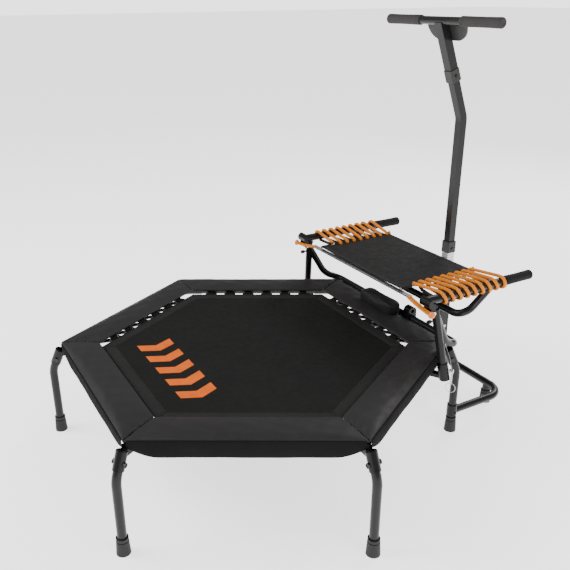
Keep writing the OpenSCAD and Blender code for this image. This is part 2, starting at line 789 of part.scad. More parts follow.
// Rubber buffers on the posts, which the rails rest on
module rest_buffers() color(black) at_mat() both_sides()
    translate([post_top[0] - 6, post_top[1], post_top[2]])
        cylinder(h = rail_z - rail_d / 2 - post_top[2] - 0.3, d = buffer_d);

// A front plate and two cheeks, welded to the rail's front end
lug_in = barrel_x0 - lug_gap - lug_t;
lug_out = barrel_x1 + lug_gap;
lug_nose_d = rail_d + 4;
lug_nose_x0 = rail_x - rail_d / 2;
lug_nose_x1 = lug_out + lug_t;
module hinge_lugs() color(black) at_mat() both_sides() difference() {
    union() {
        for (x = [lug_in, lug_out]) {
            bar([x, pivot_y, pivot_z], [x + lug_t, pivot_y, pivot_z], lug_d);
            translate([x, pivot_y - lug_w / 2, pivot_z]) cube([lug_t, lug_w, rail_z - pivot_z]);
        }
        intersection() {
            bar([lug_nose_x0, rail_front, rail_z], [lug_nose_x1, rail_front, rail_z], lug_nose_d);
            translate([0, rail_front - lug_nose_d, 0]) cube([far, lug_nose_d, far]);
        }
    }
    bar([rail_x, rail_front, rail_z], [rail_x, far, rail_z], rail_d);
    bar([0, pivot_y, pivot_z], [far, pivot_y, pivot_z], bolt_d);
}

module hinge_bolts() color(steel) at_mat() both_sides() {
    start = lug_in - head_t;
    end = lug_out + lug_t + head_t;
    bar([start, pivot_y, pivot_z], [end, pivot_y, pivot_z], bolt_d);
    difference() {
        union() {
            bar([start, pivot_y, pivot_z], [lug_in, pivot_y, pivot_z], bolt_head_d);
            bar([lug_out + lug_t, pivot_y, pivot_z], [end, pivot_y, pivot_z], bolt_head_d);
        }
        bar([0, pivot_y, pivot_z], [far, pivot_y, pivot_z], bolt_d);
    }
}

// Step ---------------------------------------------------------------------

module step_rails() color(satin) at_mat() both_sides()
    tube([rail_x, rail_front, rail_z], [rail_x, rail_end - grip_end, rail_z], rail_d, wall);

module rail_grips() color(grey) at_mat() both_sides()
    translate([rail_x, rail_end - rail_grip_len, rail_z]) rotate(90) grip(rail_grip_len, rail_d);

cross_join = [rail_x, cross_y + cross_run, rail_z];
cross_path = [cross_join, [rail_x, cross_y, cross_z], [-rail_x, cross_y, cross_z],
              [-rail_x, cross_join[1], rail_z]];
module cross_tube() color(satin) at_mat() difference() {
    bent_tube_shape(cross_path, [0, cross_bend, cross_bend, 0], brace_d, wall);
    both_sides() bar([rail_x, 0, rail_z], [rail_x, far, rail_z], rail_d);
}

function lace_y(i) = lace_start + i * lace_pitch;

// The sheet and its two hems, notched where the lacing goes round the side rods
module step_mat() color(fabric) at_mat() difference() {
    union() {
        translate([-step_w / 2, step_front, step_z - 1.5]) cube([step_w, step_len, 3]);
        both_sides() bar([step_w / 2, step_front, step_z],
                         [step_w / 2, step_front + step_len, step_z], hem_d);
    }
    both_sides() {
        bar([step_w / 2, 0, step_z], [step_w / 2, far, step_z], rod_d);
        for (i = [0 : lace_count - 1])
            box([step_w / 2, lace_y(i), step_z], [2 * (rod_d / 2 + lace_d + 2), lace_d + 3, 30]);
    }
}

// The side rods and the flat spreader under the front hem
spreader_y = step_front - 2;
spreader_z = step_z - 10;
module step_rods() color(steel) at_mat() both_sides() {
    bar([step_w / 2, step_front - 6, step_z], [step_w / 2, step_front + step_len + 4, step_z],
        rod_d);
    translate([0, 0, spreader_z - spreader[1] / 2]) linear_extrude(spreader[1]) difference() {
        union() {
            translate([0, spreader_y - spreader[0] / 2]) square([spreader_end, spreader[0]]);
            translate([spreader_end, spreader_y]) circle(d = spreader[0]);
        }
        translate([spreader_end, spreader_y]) circle(d = spreader[2]);
    }
}
spreader_end = step_w / 2 + 44;

module step_lacing() color(orange) at_mat() both_sides() difference() {
    for (i = [0 : lace_count - 1]) translate([0, lace_y(i), 0])
        wrap(rail_x, rail_z, rail_d / 2 + fit, step_w / 2, step_z, rod_d / 2 + fit, lace_d, lace_d);
    bar(cross_join, [rail_x, cross_y, cross_z], brace_d + 1);
}

// A doubled cord from the spreader's end to a ball outside the hinge lug
tether_y = pivot_y - 17;
module corner_tethers() color(orange) at_mat() both_sides() {
    ball = [lug_out + lug_t + 11, tether_y, pivot_z - 6];
    hook = [spreader_end + 12, tether_y, pivot_z + 7];
    bar(hook, ball, tether_d);
    translate(ball) sphere(d = ball_d);
    translate(hook) sphere(d = tether_d + 3);
}

ring_tubes();
corner_elbows();
leg_sockets();
leg_front_left();
leg_front_right();
leg_side_left();
leg_side_right();
leg_step_left();
leg_step_right();
leg_feet();
leg_bolts();
jump_mat();
mat_border();
mat_anchors();
bungee_loops();
pad_front();
pad_front_right();
pad_step_right();
pad_step();
pad_step_left();
pad_front_left();
base_tube();
base_clamps();
base_stubs();
base_feet();
base_post();
base_gussets();
scale_tube();
scale_screws();
lower_collar();
lower_lock_pin();
bent_tube();
stem_tube();
upper_collar();
upper_lock_pin();
handlebar();
bar_gusset();
bar_grips();
step_posts();
post_sockets();
post_pin_left();
post_pin_right();
lanyards();
post_plunger_left();
post_plunger_right();
brace_tube();
brace_clips();
edge_bracket();
edge_bumper();
hinge_barrels();
rest_buffers();
hinge_lugs();
hinge_bolts();
step_rails();
rail_grips();
cross_tube();
step_mat();
step_rods();
step_lacing();
corner_tethers();
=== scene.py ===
"""Looks of the mini trampoline: soft goods, cords, materials, light and camera.

Everything is in metres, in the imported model's frame: +Z up, +Y from the jumping mat towards the
step and the handle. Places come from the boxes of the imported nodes.
"""

import math

import bmesh
import bpy
import numpy as np
from mathutils import Matrix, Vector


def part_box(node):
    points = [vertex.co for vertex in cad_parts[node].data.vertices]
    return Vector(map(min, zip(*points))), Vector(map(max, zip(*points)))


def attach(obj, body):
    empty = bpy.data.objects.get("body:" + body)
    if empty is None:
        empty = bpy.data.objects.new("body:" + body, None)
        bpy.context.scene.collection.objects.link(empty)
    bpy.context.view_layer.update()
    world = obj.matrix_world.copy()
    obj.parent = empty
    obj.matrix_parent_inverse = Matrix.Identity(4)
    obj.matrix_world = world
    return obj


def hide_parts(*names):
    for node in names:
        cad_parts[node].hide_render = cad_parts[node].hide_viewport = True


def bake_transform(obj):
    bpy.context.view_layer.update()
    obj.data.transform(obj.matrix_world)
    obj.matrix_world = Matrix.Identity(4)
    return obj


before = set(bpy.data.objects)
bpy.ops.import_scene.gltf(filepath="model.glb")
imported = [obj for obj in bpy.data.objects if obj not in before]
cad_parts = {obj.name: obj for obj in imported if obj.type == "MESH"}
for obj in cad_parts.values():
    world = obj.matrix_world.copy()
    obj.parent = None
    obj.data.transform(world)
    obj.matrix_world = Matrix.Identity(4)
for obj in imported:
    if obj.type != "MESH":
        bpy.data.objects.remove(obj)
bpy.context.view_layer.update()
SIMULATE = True
TURN = 2 * math.pi
SIDES = 6


def box(node):
    """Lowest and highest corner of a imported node, as arrays."""
    low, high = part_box(node)
    return np.array(low), np.array(high)


# Places ---------------------------------------------------------------------------------------

mat_low, mat_high = box("jump_mat")
MID_Y = (mat_low[1] + mat_high[1]) / 2
MAT_APOTHEM = (mat_high[1] - mat_low[1]) / 2
MAT_TOP = mat_high[2]
BORDER_WIDTH = 0.039
BORDER_RISE = 0.0016
SEAM_DEPTH = 0.0005
SEAM_SHARES = (0.12, 0.88)
SEAM_SPREAD = 0.03
BORDER_OVERHANG = 0.001
BORDER_UNDER = 0.0012

pad_low, pad_high = box("pad_front")
PAD_TOP = pad_high[2]
PAD_INNER = MID_Y - pad_high[1]
PAD_OUTER = MID_Y - pad_low[1]
PAD_THICK = 0.009
SKIRT_LOW = pad_low[2]
SKIRT_GAP = 0.011
SKIRT_TOP = PAD_TOP - 0.002
SKIRT_EASE = 0.08
SKIRT_THICK = 0.0018

ring_low, ring_high = box("ring_tubes")
RING_R = (ring_high[2] - ring_low[2]) / 2
RING_Z = (ring_high[2] + ring_low[2]) / 2
RING_APOTHEM = ring_high[1] - MID_Y - RING_R

anchor_low, anchor_high = box("mat_anchors")
ANCHOR_R = 0.0025
ANCHOR_APOTHEM = anchor_high[1] - MID_Y - ANCHOR_R
ANCHOR_Z = (anchor_low[2] + anchor_high[2]) / 2
LOOPS_PER_SIDE = 6
LOOP_PITCH = 0.07243

rail_low, rail_high = box("step_rails")
RAIL_R = (rail_high[2] - rail_low[2]) / 2
RAIL_X = rail_high[0] - RAIL_R
RAIL_Z = rail_high[2] - RAIL_R
rod_low, rod_high = box("step_rods")
sheet_low, sheet_high = box("step_mat")
HEM_R = 0.006
ROD_R = 0.003
ROD_X = sheet_high[0] - HEM_R
ROD_Z = (sheet_low[2] + sheet_high[2]) / 2
SPREADER_TOP = rod_low[2] + 0.004
lace_low, lace_high = box("step_lacing")
LACE_R = 0.0056
LACE_Z = (lace_low[2] + lace_high[2]) / 2
LACE_TURNS = 9
PACKED_LACE_R = 0.0055
LACE_PITCH = (lace_high[1] - lace_low[1] - 2 * PACKED_LACE_R) / (LACE_TURNS - 1)
LACE_START = lace_low[1] + PACKED_LACE_R


# Meshes ---------------------------------------------------------------------------------------

def finished(obj, body, material, smooth=True):
    """Gives a piece its material, and lets it ride on its body."""
    obj.data.materials.clear()
    obj.data.materials.append(material)
    if smooth:
        obj.data.shade_smooth()
    else:
        obj.data.shade_flat()
    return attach(obj, body)


def skin(name, points, close_u=False, close_v=False, caps=False, uv=None):
    """A mesh over grids of points, shaped (grid, u, v, xyz) or (u, v, xyz).
    Each face joins the grid points (i, j), (i+1, j), (i+1, j+1) and (i, j+1).
    close_u and close_v join the last line of points to the first; caps fills both end rings.
    uv is (metres along u, metres along v), the map that the weave and braid patterns follow."""
    points = np.asarray(points, float)
    points = points[None] if points.ndim == 3 else points
    grids, nu, nv = points.shape[:3]
    i, j = np.meshgrid(np.arange(nu - (not close_u)), np.arange(nv - (not close_v)), indexing="ij")
    corner = np.stack([np.stack([i + a, j + b], -1) for a, b in ((0, 0), (1, 0), (1, 1), (0, 1))], -2)
    corner = corner.reshape(-1, 4, 2)
    one = (corner[..., 0] % nu) * nv + corner[..., 1] % nv
    start = np.arange(grids)[:, None] * nu * nv
    faces = (one[None] + start[..., None]).reshape(-1, 4).tolist()
    if caps:
        ring = np.arange(nv)
        faces += (start + ring).tolist() + (start + (nu - 1) * nv + ring[::-1]).tolist()
    mesh = bpy.data.meshes.new(name)
    mesh.from_pydata(points.reshape(-1, 3).tolist(), [], faces)
    if uv is not None:
        along, around = (np.linspace(0, size, count + 1) for size, count in zip(uv, (nu, nv)))
        flat = np.stack([along[corner[..., 0]], around[corner[..., 1]]], -1).reshape(-1, 2)
        flat = np.tile(flat, (grids, 1))
        if caps:
            flat = np.concatenate([flat, np.zeros((2 * grids * nv, 2))])
        mesh.uv_layers.new(name="UVMap").data.foreach_set("uv", flat.ravel())
    work = bmesh.new()
    work.from_mesh(mesh)
    bmesh.ops.recalc_face_normals(work, faces=work.faces)
    work.to_mesh(mesh)
    work.free()
    obj = bpy.data.objects.new(name, mesh)
    bpy.context.scene.collection.objects.link(obj)
    return obj


def unit(v):
    return v / np.linalg.norm(v, axis=-1, keepdims=True)


def tube(path, radius, across, sides=10, closed=False):
    """Rings about a path: point + radius * (cos(angle) * a + sin(angle) * b), where a is the
    direction across made square to the path, and b is square to both. A radius may vary."""
    path = np.asarray(path, float)
    ahead = np.roll(path, -1, -2) - np.roll(path, 1, -2) if closed else np.gradient(path, axis=-2)
    ahead = unit(ahead)
    across = np.broadcast_to(across, path.shape)
    a = unit(across - (across * ahead).sum(-1, keepdims=True) * ahead)
    b = np.cross(ahead, a)
    angle = np.arange(sides) * TURN / sides
    ring = np.cos(angle)[:, None] * a[..., None, :] + np.sin(angle)[:, None] * b[..., None, :]
    radius = np.broadcast_to(radius, path.shape[:-1])[..., None, None]
    return path[..., None, :] + radius * ring


def belt(near, near_r, far, far_r, straight, round_steps):
    """A closed line round two circles in a plane: the far side of each circle and the two
    tangents between them, which leave a circle where the swing from the line of centres is
    acos((near_r - far_r) / distance)."""
    near, far = np.array(near, float), np.array(far, float)
    heading = math.atan2(*(far - near)[::-1])
    swing = math.acos((near_r - far_r) / np.linalg.norm(far - near))

    def arc(middle, radius, start, end):
        angle = np.linspace(start, end, round_steps)
        return middle + radius * np.stack([np.cos(angle), np.sin(angle)], -1)

    first = arc(near, near_r, heading + swing, heading + TURN - swing)
    second = arc(far, far_r, heading - swing, heading + swing)
    share = np.linspace(0, 1, straight + 2)[1:-1, None]
    return np.concatenate([first, first[-1] + share * (second[0] - first[-1]),
                           second, second[-1] + share * (first[0] - second[-1])])


def lathe(profile, start, axis, sides=40):
    """A solid of revolution: (distance along, radius) pairs turned about an axis from start."""
    profile = np.asarray(profile, float)
    axis = unit(np.asarray(axis, float))
    side = unit(np.cross(axis, [0.3, 0.5, 0.8]))
    other = np.cross(axis, side)
    angle = np.arange(sides) * TURN / sides
    ring = np.cos(angle)[:, None] * side + np.sin(angle)[:, None] * other
    return (np.asarray(start, float) + profile[:, None, :1] * axis
            + profile[:, None, 1:] * ring)


def turned(points, side):
    """Points about the mat's middle, turned by a sixth of a turn for each side."""
    angle = side * TURN / SIDES
    cosine, sine = math.cos(angle), math.sin(angle)
    points = np.asarray(points, float)
    x, y = points[..., 0], points[..., 1] - MID_Y
    return np.stack([cosine * x - sine * y, sine * x + cosine * y + MID_Y, points[..., 2]], -1)


def mirrored(points):
    """Points and their mirror images about the middle plane, as two grids."""
    points = np.asarray(points, float)
    return np.stack([points, points * [-1, 1, 1]])


# Materials ------------------------------------------------------------------------------------

class Finish:
    """A Principled material and short ways to its pattern nodes."""

    def __init__(self, name, colour, roughness, metallic=0.0, specular=0.5):
        self.material = bpy.data.materials.new(name)
        self.material.use_nodes = True
        self.tree = self.material.node_tree
        self.shader = self.tree.nodes["Principled BSDF"]
        self.shader.inputs["Base Color"].default_value = (*colour, 1)
        self.shader.inputs["Roughness"].default_value = roughness
        self.shader.inputs["Metallic"].default_value = metallic
        self.shader.inputs["Specular IOR Level"].default_value = specular
        self.place = self.node("TexCoord")

    def node(self, kind, **values):
        made = self.tree.nodes.new("ShaderNode" + kind)
        for name, value in values.items():
            setattr(made, name, value)
        return made

    def link(self, out, into):
        self.tree.links.new(out, into)

    def noise(self, scale, detail=3.0, rough=0.5, where="Object", stretch=(1, 1, 1)):
        """Fractal noise of the given cells per metre, stretched along an axis."""
        mapping = self.node("Mapping")
        mapping.inputs["Scale"].default_value = stretch
        self.link(self.place.outputs[where], mapping.inputs["Vector"])
        made = self.node("TexNoise")
        made.inputs["Scale"].default_value = scale
        made.inputs["Detail"].default_value = detail
        made.inputs["Roughness"].default_value = rough
        self.link(mapping.outputs["Vector"], made.inputs["Vector"])
        return made.outputs["Fac"]

    def math(self, operation, a, b=0.0):
        """One arithmetic step on two sockets or numbers."""
        made = self.node("Math", operation=operation)
        for socket, value in zip(made.inputs, (a, b)):
            if isinstance(value, (int, float)):
                socket.default_value = value
            else:
                self.link(value, socket)
        return made.outputs[0]

    def ramp(self, value, low, high, low_at=0.0, high_at=1.0):
        """Maps a value from low_at..high_at onto low..high."""
        made = self.node("MapRange")
        self.link(value, made.inputs["Value"])
        for name, number in (("From Min", low_at), ("From Max", high_at),
                             ("To Min", low), ("To Max", high)):
            made.inputs[name].default_value = number
        return made.outputs["Result"]

    def two_tone(self, share, first, second):
        """Base colour between two tones."""
        made = self.node("Mix", data_type="RGBA")
        self.link(share, made.inputs["Factor"])
        made.inputs[6].default_value = (*first, 1)
        made.inputs[7].default_value = (*second, 1)
        self.link(made.outputs[2], self.shader.inputs["Base Color"])
        return made.outputs[2]

    def tone_over(self, under, share, colour):
        """Lays another tone over the base colour so far."""
        made = self.node("Mix", data_type="RGBA")
        self.link(share, made.inputs["Factor"])
        self.link(under, made.inputs[6])
        made.inputs[7].default_value = (*colour, 1)
        self.link(made.outputs[2], self.shader.inputs["Base Color"])
        return made.outputs[2]

    def rough(self, value):
        self.link(value, self.shader.inputs["Roughness"])

    def bump(self, height, depth, strength=1.0):
        """Relief of the given depth in metres, on top of any relief before it."""
        made = self.node("Bump")
        made.inputs["Strength"].default_value = strength
        made.inputs["Distance"].default_value = depth
        self.link(height, made.inputs["Height"])
        socket = self.shader.inputs["Normal"]
        if socket.is_linked:
            self.link(socket.links[0].from_socket, made.inputs["Normal"])
        self.link(made.outputs["Normal"], socket)

    def axes(self, where="Object"):
        made = self.node("SeparateXYZ")
        self.link(self.place.outputs[where], made.inputs[0])
        return made.outputs


def wave(finish, axis, period):
    """(1 + sin(2 pi * axis / period)) / 2."""
    phase = finish.math("MULTIPLY", axis, TURN / period)
    return finish.ramp(finish.math("SINE", phase), 0.0, 1.0, -1.0, 1.0)


def painted(name, colour, rough_low, rough_high, specular, coat):
    """Powder coat: orange-peel relief, and a gloss that handling has made uneven."""
    paint = Finish(name, colour, rough_low, specular=specular)
    paint.bump(paint.noise(900, 2), 0.00006, 0.6)
    paint.rough(paint.ramp(paint.noise(14, 4), rough_low, rough_high, 0.35, 0.65))
    scuff = paint.ramp(paint.noise(60, 6, 0.7, stretch=(1, 1, 0.2)), 0.0, 0.5, 0.62, 0.78)
    paint.two_tone(scuff, colour, tuple(2.6 * c for c in colour))
    paint.shader.inputs["Coat Weight"].default_value = coat
    paint.shader.inputs["Coat Roughness"].default_value = 0.07
    return paint.material


def metal(name, colour, rough_low, rough_high, stretch=(1, 1, 1)):
    """Plated steel with fine drawn lines and faint clouding."""
    plate = Finish(name, colour, rough_low, metallic=1.0)
    plate.two_tone(plate.noise(25, 4), tuple(0.82 * c for c in colour), colour)
    plate.rough(plate.ramp(plate.noise(700, 3, stretch=stretch), rough_low, rough_high, 0.3, 0.7))
    plate.bump(plate.noise(1200, 2, stretch=stretch), 0.00003, 0.5)
    return plate.material


def moulded(name, colour, roughness, grain=1400, depth=0.00008, specular=0.5):
    """Plastic, rubber, foam, thread or print: a pebble relief and faint clouding."""
    shell = Finish(name, colour, roughness, specular=specular)
    cells = shell.node("TexVoronoi")
    cells.inputs["Scale"].default_value = grain
    shell.link(shell.place.outputs["Object"], cells.inputs["Vector"])
    shell.bump(cells.outputs["Distance"], depth, 0.7)
    cloud = shell.noise(35, 4)
    shell.two_tone(cloud, tuple(0.75 * c for c in colour), tuple(1.2 * c for c in colour))
    shell.rough(shell.ramp(cloud, roughness - 0.06, roughness + 0.06, 0.3, 0.7))
    return shell.material


def woven(name, colour, yarn, depth, specular):
    """A plain weave: two sets of yarns as sine ridges square to each other, whose product makes
    each crossing rise and fall, with tone from the same pattern: painted shade, lighter on the
    rising crossings and darker in the dips, mixed with random clouding."""
    cloth = Finish(name, colour, 0.65, specular=specular)
    x, y, _ = cloth.axes()
    over = cloth.math("MULTIPLY", wave(cloth, x, 2 * yarn), wave(cloth, y, 2 * yarn))
    ridge = cloth.math("ADD", over, cloth.math("MULTIPLY", wave(cloth, x, yarn), 0.4))
    cloth.bump(ridge, depth, 0.8)
    # painted shade: lighter where the crossings rise and darker in the dips, plus random clouding from
    # the noise
    tone = cloth.math("ADD", cloth.math("MULTIPLY", over, 0.6),
                      cloth.math("MULTIPLY", cloth.noise(9, 5), 0.6))
    cloth.two_tone(tone, tuple(0.6 * c for c in colour), tuple(1.35 * c for c in colour))
    cloth.rough(cloth.ramp(cloth.noise(40, 3), 0.58, 0.72, 0.3, 0.7))
    return cloth.material


def coated_cloth(name, colour, roughness, specular):
    """Coated cover cloth: a leather-like grain and soft creases."""
    cover = Finish(name, colour, roughness, specular=specular)
    cells = cover.node("TexVoronoi", feature="SMOOTH_F1")
    cells.inputs["Scale"].default_value = 520
    cover.link(cover.place.outputs["Object"], cells.inputs["Vector"])
    cover.bump(cover.noise(7, 4, 0.55), 0.0035, 0.35)
    cover.bump(cells.outputs["Distance"], 0.00012, 0.8)
    cloud = cover.noise(5, 5, 0.6)
    cover.two_tone(cloud, tuple(0.8 * c for c in colour), tuple(1.2 * c for c in colour))
    cover.rough(cover.ramp(cover.noise(28, 4), roughness - 0.08, roughness + 0.1, 0.3, 0.7))
    return cover.material


BRAID_PITCH = 0.0045
BRAID_RIDGES = 6


def braided(name, colour, groove_shade, around):
    """A braided jacket on a cord whose UV runs along and around it, in metres: two sets of
    ridges that cross at a slant, sin(along + turn) and sin(along - turn), and a darker tone
    between them, which is painted shade in the grooves."""
    cord = Finish(name, colour, 0.6, specular=0.2)
    u, v, _ = cord.axes("UV")
    along = cord.math("MULTIPLY", u, TURN / BRAID_PITCH)
    turn = cord.math("MULTIPLY", v, BRAID_RIDGES * TURN / around)
    left = cord.math("SINE", cord.math("ADD", along, turn))
    right = cord.math("SINE", cord.math("SUBTRACT", along, turn))
    relief = cord.ramp(cord.math("MAXIMUM", left, right), 0.0, 1.0, -0.6, 1.0)
    cord.bump(relief, 0.0005, 0.8)
    # painted shade: the darker tone where the relief is low, in the grooves between the ridges
    base = cord.two_tone(relief, groove_shade, colour)
    worn = cord.ramp(cord.noise(45, 4), 0.0, 0.35, 0.5, 0.75)
    cord.base = cord.tone_over(base, worn, tuple(0.5 * c for c in colour))
    return cord


black_paint = painted("satin_black_paint", (0.0105, 0.0105, 0.0105), 0.22, 0.34, 0.2, 0.07)
gloss_paint = painted("gloss_black_paint", (0.007, 0.007, 0.007), 0.2, 0.3, 0.18, 0.05)
mat_cloth = woven("jump_mat_weave", (0.0105, 0.0102, 0.0098), 0.0011, 0.00035, 0.12)
step_cloth = woven("step_mat_weave", (0.0125, 0.012, 0.0118), 0.0011, 0.00035, 0.12)
border_cloth = woven("border_webbing", (0.021, 0.02, 0.0195), 0.002, 0.0006, 0.12)
pad_cloth = coated_cloth("pad_cover", (0.022, 0.0205, 0.0205), 0.5, 0.2)
# painted shade: the skirt is the pad cover's cloth at half its colour
skirt_cloth_painted_shade = coated_cloth("skirt_cover", (0.011, 0.0105, 0.0105), 0.85, 0.03)
bumper_cloth = coated_cloth("bumper_cover", (0.02, 0.019, 0.019), 0.58, 0.15)
thread = moulded("sewing_thread", (0.04, 0.04, 0.04), 0.7, specular=0.2)
foot_rubber = moulded("foot_rubber", (0.016, 0.016, 0.016), 0.68, 900, 0.00012, specular=0.35)
hard_plastic = moulded("black_plastic", (0.012, 0.012, 0.012), 0.42, specular=0.25)
collar_plastic = moulded("collar_plastic", (0.034, 0.034, 0.033), 0.42, specular=0.2)
grip_foam = moulded("grip_foam", (0.04, 0.037, 0.037), 0.8, 650, 0.0003, specular=0.2)
rail_foam = moulded("rail_grip_foam", (0.014, 0.013, 0.013), 0.8, 650, 0.0003, specular=0.15)
zinc = metal("zinc_plate", (0.62, 0.63, 0.64), 0.22, 0.4)
wire_steel = metal("wire_steel", (0.3, 0.3, 0.31), 0.3, 0.45)
black_zinc = metal("black_zinc", (0.05, 0.05, 0.052), 0.3, 0.45)
black_cord = braided("black_elastic", (0.011, 0.011, 0.011), (0.003, 0.003, 0.003), 0.022).material
# the second orange is the painted shade in the braid's grooves
ORANGE, ORANGE_GROOVE_SHADE = (0.95, 0.3, 0.012), (0.34, 0.07, 0.003)
orange_cord = braided("orange_elastic", ORANGE, ORANGE_GROOVE_SHADE, 0.038).material


def lace_cord():
    """The orange braid, with painted shade: a nearly black tone on the runs that return under the
    step, below the lacing's middle height and inwards of the rail."""
    cord = braided("orange_lace", ORANGE, ORANGE_GROOVE_SHADE, 0.038)
    x, _, z = cord.axes()
    low = cord.ramp(z, 1.0, 0.0, LACE_Z - 0.004, LACE_Z + 0.003)
    inner = cord.ramp(cord.math("ABSOLUTE", x), 1.0, 0.0, RAIL_X, RAIL_X + RAIL_R)
    # painted shade: the return runs under the step are turned nearly black
    cord.tone_over(cord.base, cord.math("MULTIPLY", low, inner), (0.012, 0.004, 0.0015))
    return cord.material


orange_print = moulded("orange_print", (0.82, 0.14, 0.006), 0.5, 700, 0.00006, specular=0.2)
LINES_PER_METRE = 100.0
LINE_SHARE = 0.14


def graduated_steel():
    """Satin chrome with a fine dark line round the square tube at each centimetre of height."""
    plate = Finish("graduated_chrome", (0.55, 0.55, 0.56), 0.24, metallic=1.0)
    _, _, z = plate.axes()
    within = plate.math("FRACT", plate.math("MULTIPLY", z, LINES_PER_METRE))
    line = plate.math("LESS_THAN", within, LINE_SHARE)
    base = plate.two_tone(plate.noise(40, 4), (0.5, 0.5, 0.51), (0.62, 0.62, 0.63))
    plate.tone_over(base, line, (0.06, 0.06, 0.06))
    plate.rough(plate.ramp(plate.noise(600, 3, stretch=(1, 1, 0.05)), 0.2, 0.36, 0.3, 0.7))
    return plate.material


def spreader_and_rods():
    """Bright rods, and a bright top face on the spreader that is a painted highlight; black paint with
    worn spots below it.
    """
    plate = Finish("rods_and_spreader", (0.6, 0.6, 0.61), 0.3, metallic=1.0)
    _, _, z = plate.axes()
    # painted highlight: the spreader's top face is made bright metal like the rods above it
    rods_and_painted_highlight = plate.math("GREATER_THAN", z, SPREADER_TOP - 0.0004)
    base = plate.two_tone(rods_and_painted_highlight, (0.014, 0.014, 0.014), (0.62, 0.62, 0.63))
    worn = plate.math("GREATER_THAN", plate.noise(55, 5, 0.7), 0.66)
    plate.tone_over(base, worn, (0.45, 0.45, 0.45))
    plate.rough(plate.ramp(plate.noise(300, 3), 0.24, 0.42, 0.3, 0.7))
    return plate.material


NODE_FINISHES = {
    black_paint: ["ring_tubes", "leg_front_left", "leg_front_right", "leg_side_left",
                  "leg_side_right", "leg_step_left", "leg_step_right", "base_tube", "base_stubs",
                  "base_post", "base_gussets", "bent_tube", "stem_tube", "handlebar",
                  "step_posts", "brace_tube", "step_rails", "cross_tube"],
    gloss_paint: ["corner_elbows", "leg_sockets", "base_clamps", "post_sockets", "brace_clips",
                  "edge_bracket", "hinge_barrels", "hinge_lugs"],
    foot_rubber: ["leg_feet", "base_feet", "rest_buffers"],
    hard_plastic: ["mat_anchors", "post_plunger_left", "post_plunger_right"],
    collar_plastic: ["lower_collar", "upper_collar", "bar_gusset"],
    black_zinc: ["leg_bolts", "lower_lock_pin", "upper_lock_pin"],
    zinc: ["scale_screws", "post_pin_left", "post_pin_right", "hinge_bolts"],
    graduated_steel(): ["scale_tube"],
    spreader_and_rods(): ["step_rods"],
}
for material, nodes in NODE_FINISHES.items():
    for node in nodes:
        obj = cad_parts[node]
        obj.data.materials.clear()
        obj.data.materials.append(material)


# Jumping mat ----------------------------------------------------------------------------------

def hexagon_radius(angle, apothem):
    """Distance from the middle to a hexagon's edge: apothem over the cosine of the angle from
    the nearest side's middle. Two corners lie along the X axis."""
    return apothem / np.cos((angle % (TURN / SIDES)) - TURN / (2 * SIDES))


MAT_SAG = 0.004
MAT_THICK = 0.0022
MAT_RINGS = 30
MAT_STEPS = SIDES * 20
share = np.linspace(0.004, 1, MAT_RINGS)[:, None]
angle = (np.arange(MAT_STEPS) * TURN / MAT_STEPS)[None, :]
reach = share * hexagon_radius(angle, MAT_APOTHEM)
sag = MAT_SAG * np.clip(1 - (share / 0.9) ** 2, 0, 1) + 0 * angle
mat_top_points = np.stack([reach * np.cos(angle), MID_Y + reach * np.sin(angle),
                           MAT_TOP - sag], -1)
mat_points = np.concatenate([mat_top_points, mat_top_points[::-1] - [0, 0, MAT_THICK]])
jump_sheet = skin("jump_sheet", mat_points, close_v=True, caps=True)
finished(jump_sheet, "frame", mat_cloth)
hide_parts("jump_mat")


def border_strip():
    """The sewn webbing round the mat: on each side a mitred band whose half width follows the
    hexagon, x = share * apothem * tan 30, with a low rounded rise sin(pi * across) and a seam
    groove at each edge."""
    across = np.linspace(0, 1, 15)
    along = np.linspace(-1, 1, 25)
    apothem = MAT_APOTHEM + BORDER_OVERHANG - across * BORDER_WIDTH
    rise = BORDER_RISE * np.sqrt(np.clip(np.sin(math.pi * across), 0, 1))
    grooves = [np.exp(-((across - seam) / SEAM_SPREAD) ** 2) for seam in SEAM_SHARES]
    rise -= SEAM_DEPTH * (grooves[0] + grooves[1])
    top = np.stack([along[:, None] * apothem * math.tan(TURN / 12),
                    MID_Y - apothem + 0 * along[:, None],
                    MAT_TOP + rise + 0 * along[:, None]], -1)
    under = top[:, ::-1].copy()
    under[..., 2] = MAT_TOP - BORDER_UNDER
    band = np.concatenate([top, under], 1)
    return skin("mat_border_band", np.stack([turned(band, k) for k in range(SIDES)]),
                close_v=True, caps=True)


border = finished(border_strip(), "frame", border_cloth)
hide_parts("mat_border")


CHEVRON_LEAN = 0.45
INK_BELOW = 0.0002
INK_ABOVE = 0.0004


def chevrons(count, width, height, step):
    """A row of plain chevrons, each a band bent at its middle: x = shift - lean * |y|."""
    y = np.linspace(-1, 1, 9) * height / 2
    grids = []
    for k in range(count):
        left = (k - (count - 1) / 2) * step - width / 2 - CHEVRON_LEAN * (np.abs(y) - height / 4)
        band = np.stack([np.stack([left + w, y, 0 * y], -1) for w in (0, width)], 1)
        low, top = band - [0, 0, INK_BELOW], band + [0, 0, INK_ABOVE]
        grids.append(np.concatenate([top, low[:, ::-1]], 1))
    return np.stack(grids)


MARK_PLACE = (0.003, MID_Y - 0.278)
mark = chevrons(count=5, width=0.042, height=0.115, step=0.084)
mark_reach = np.hypot(mark[..., 0] + MARK_PLACE[0], mark[..., 1] + MARK_PLACE[1] - MID_Y)
mark_share = mark_reach / MAT_APOTHEM
mark = mark + [*MARK_PLACE, MAT_TOP]
mark[..., 2] -= MAT_SAG * np.clip(1 - (mark_share / 0.98) ** 2, 0, 1) - INK_BELOW
print_marks = skin("mat_chevrons", mark, close_v=True, caps=True)
finished(print_marks, "frame", orange_print, smooth=False)

STITCH_REACH = np.array([-0.3, -0.2, 0.2, 0.3])
STITCH_RADII = np.array([0.0002, 0.0006, 0.0006, 0.0002])


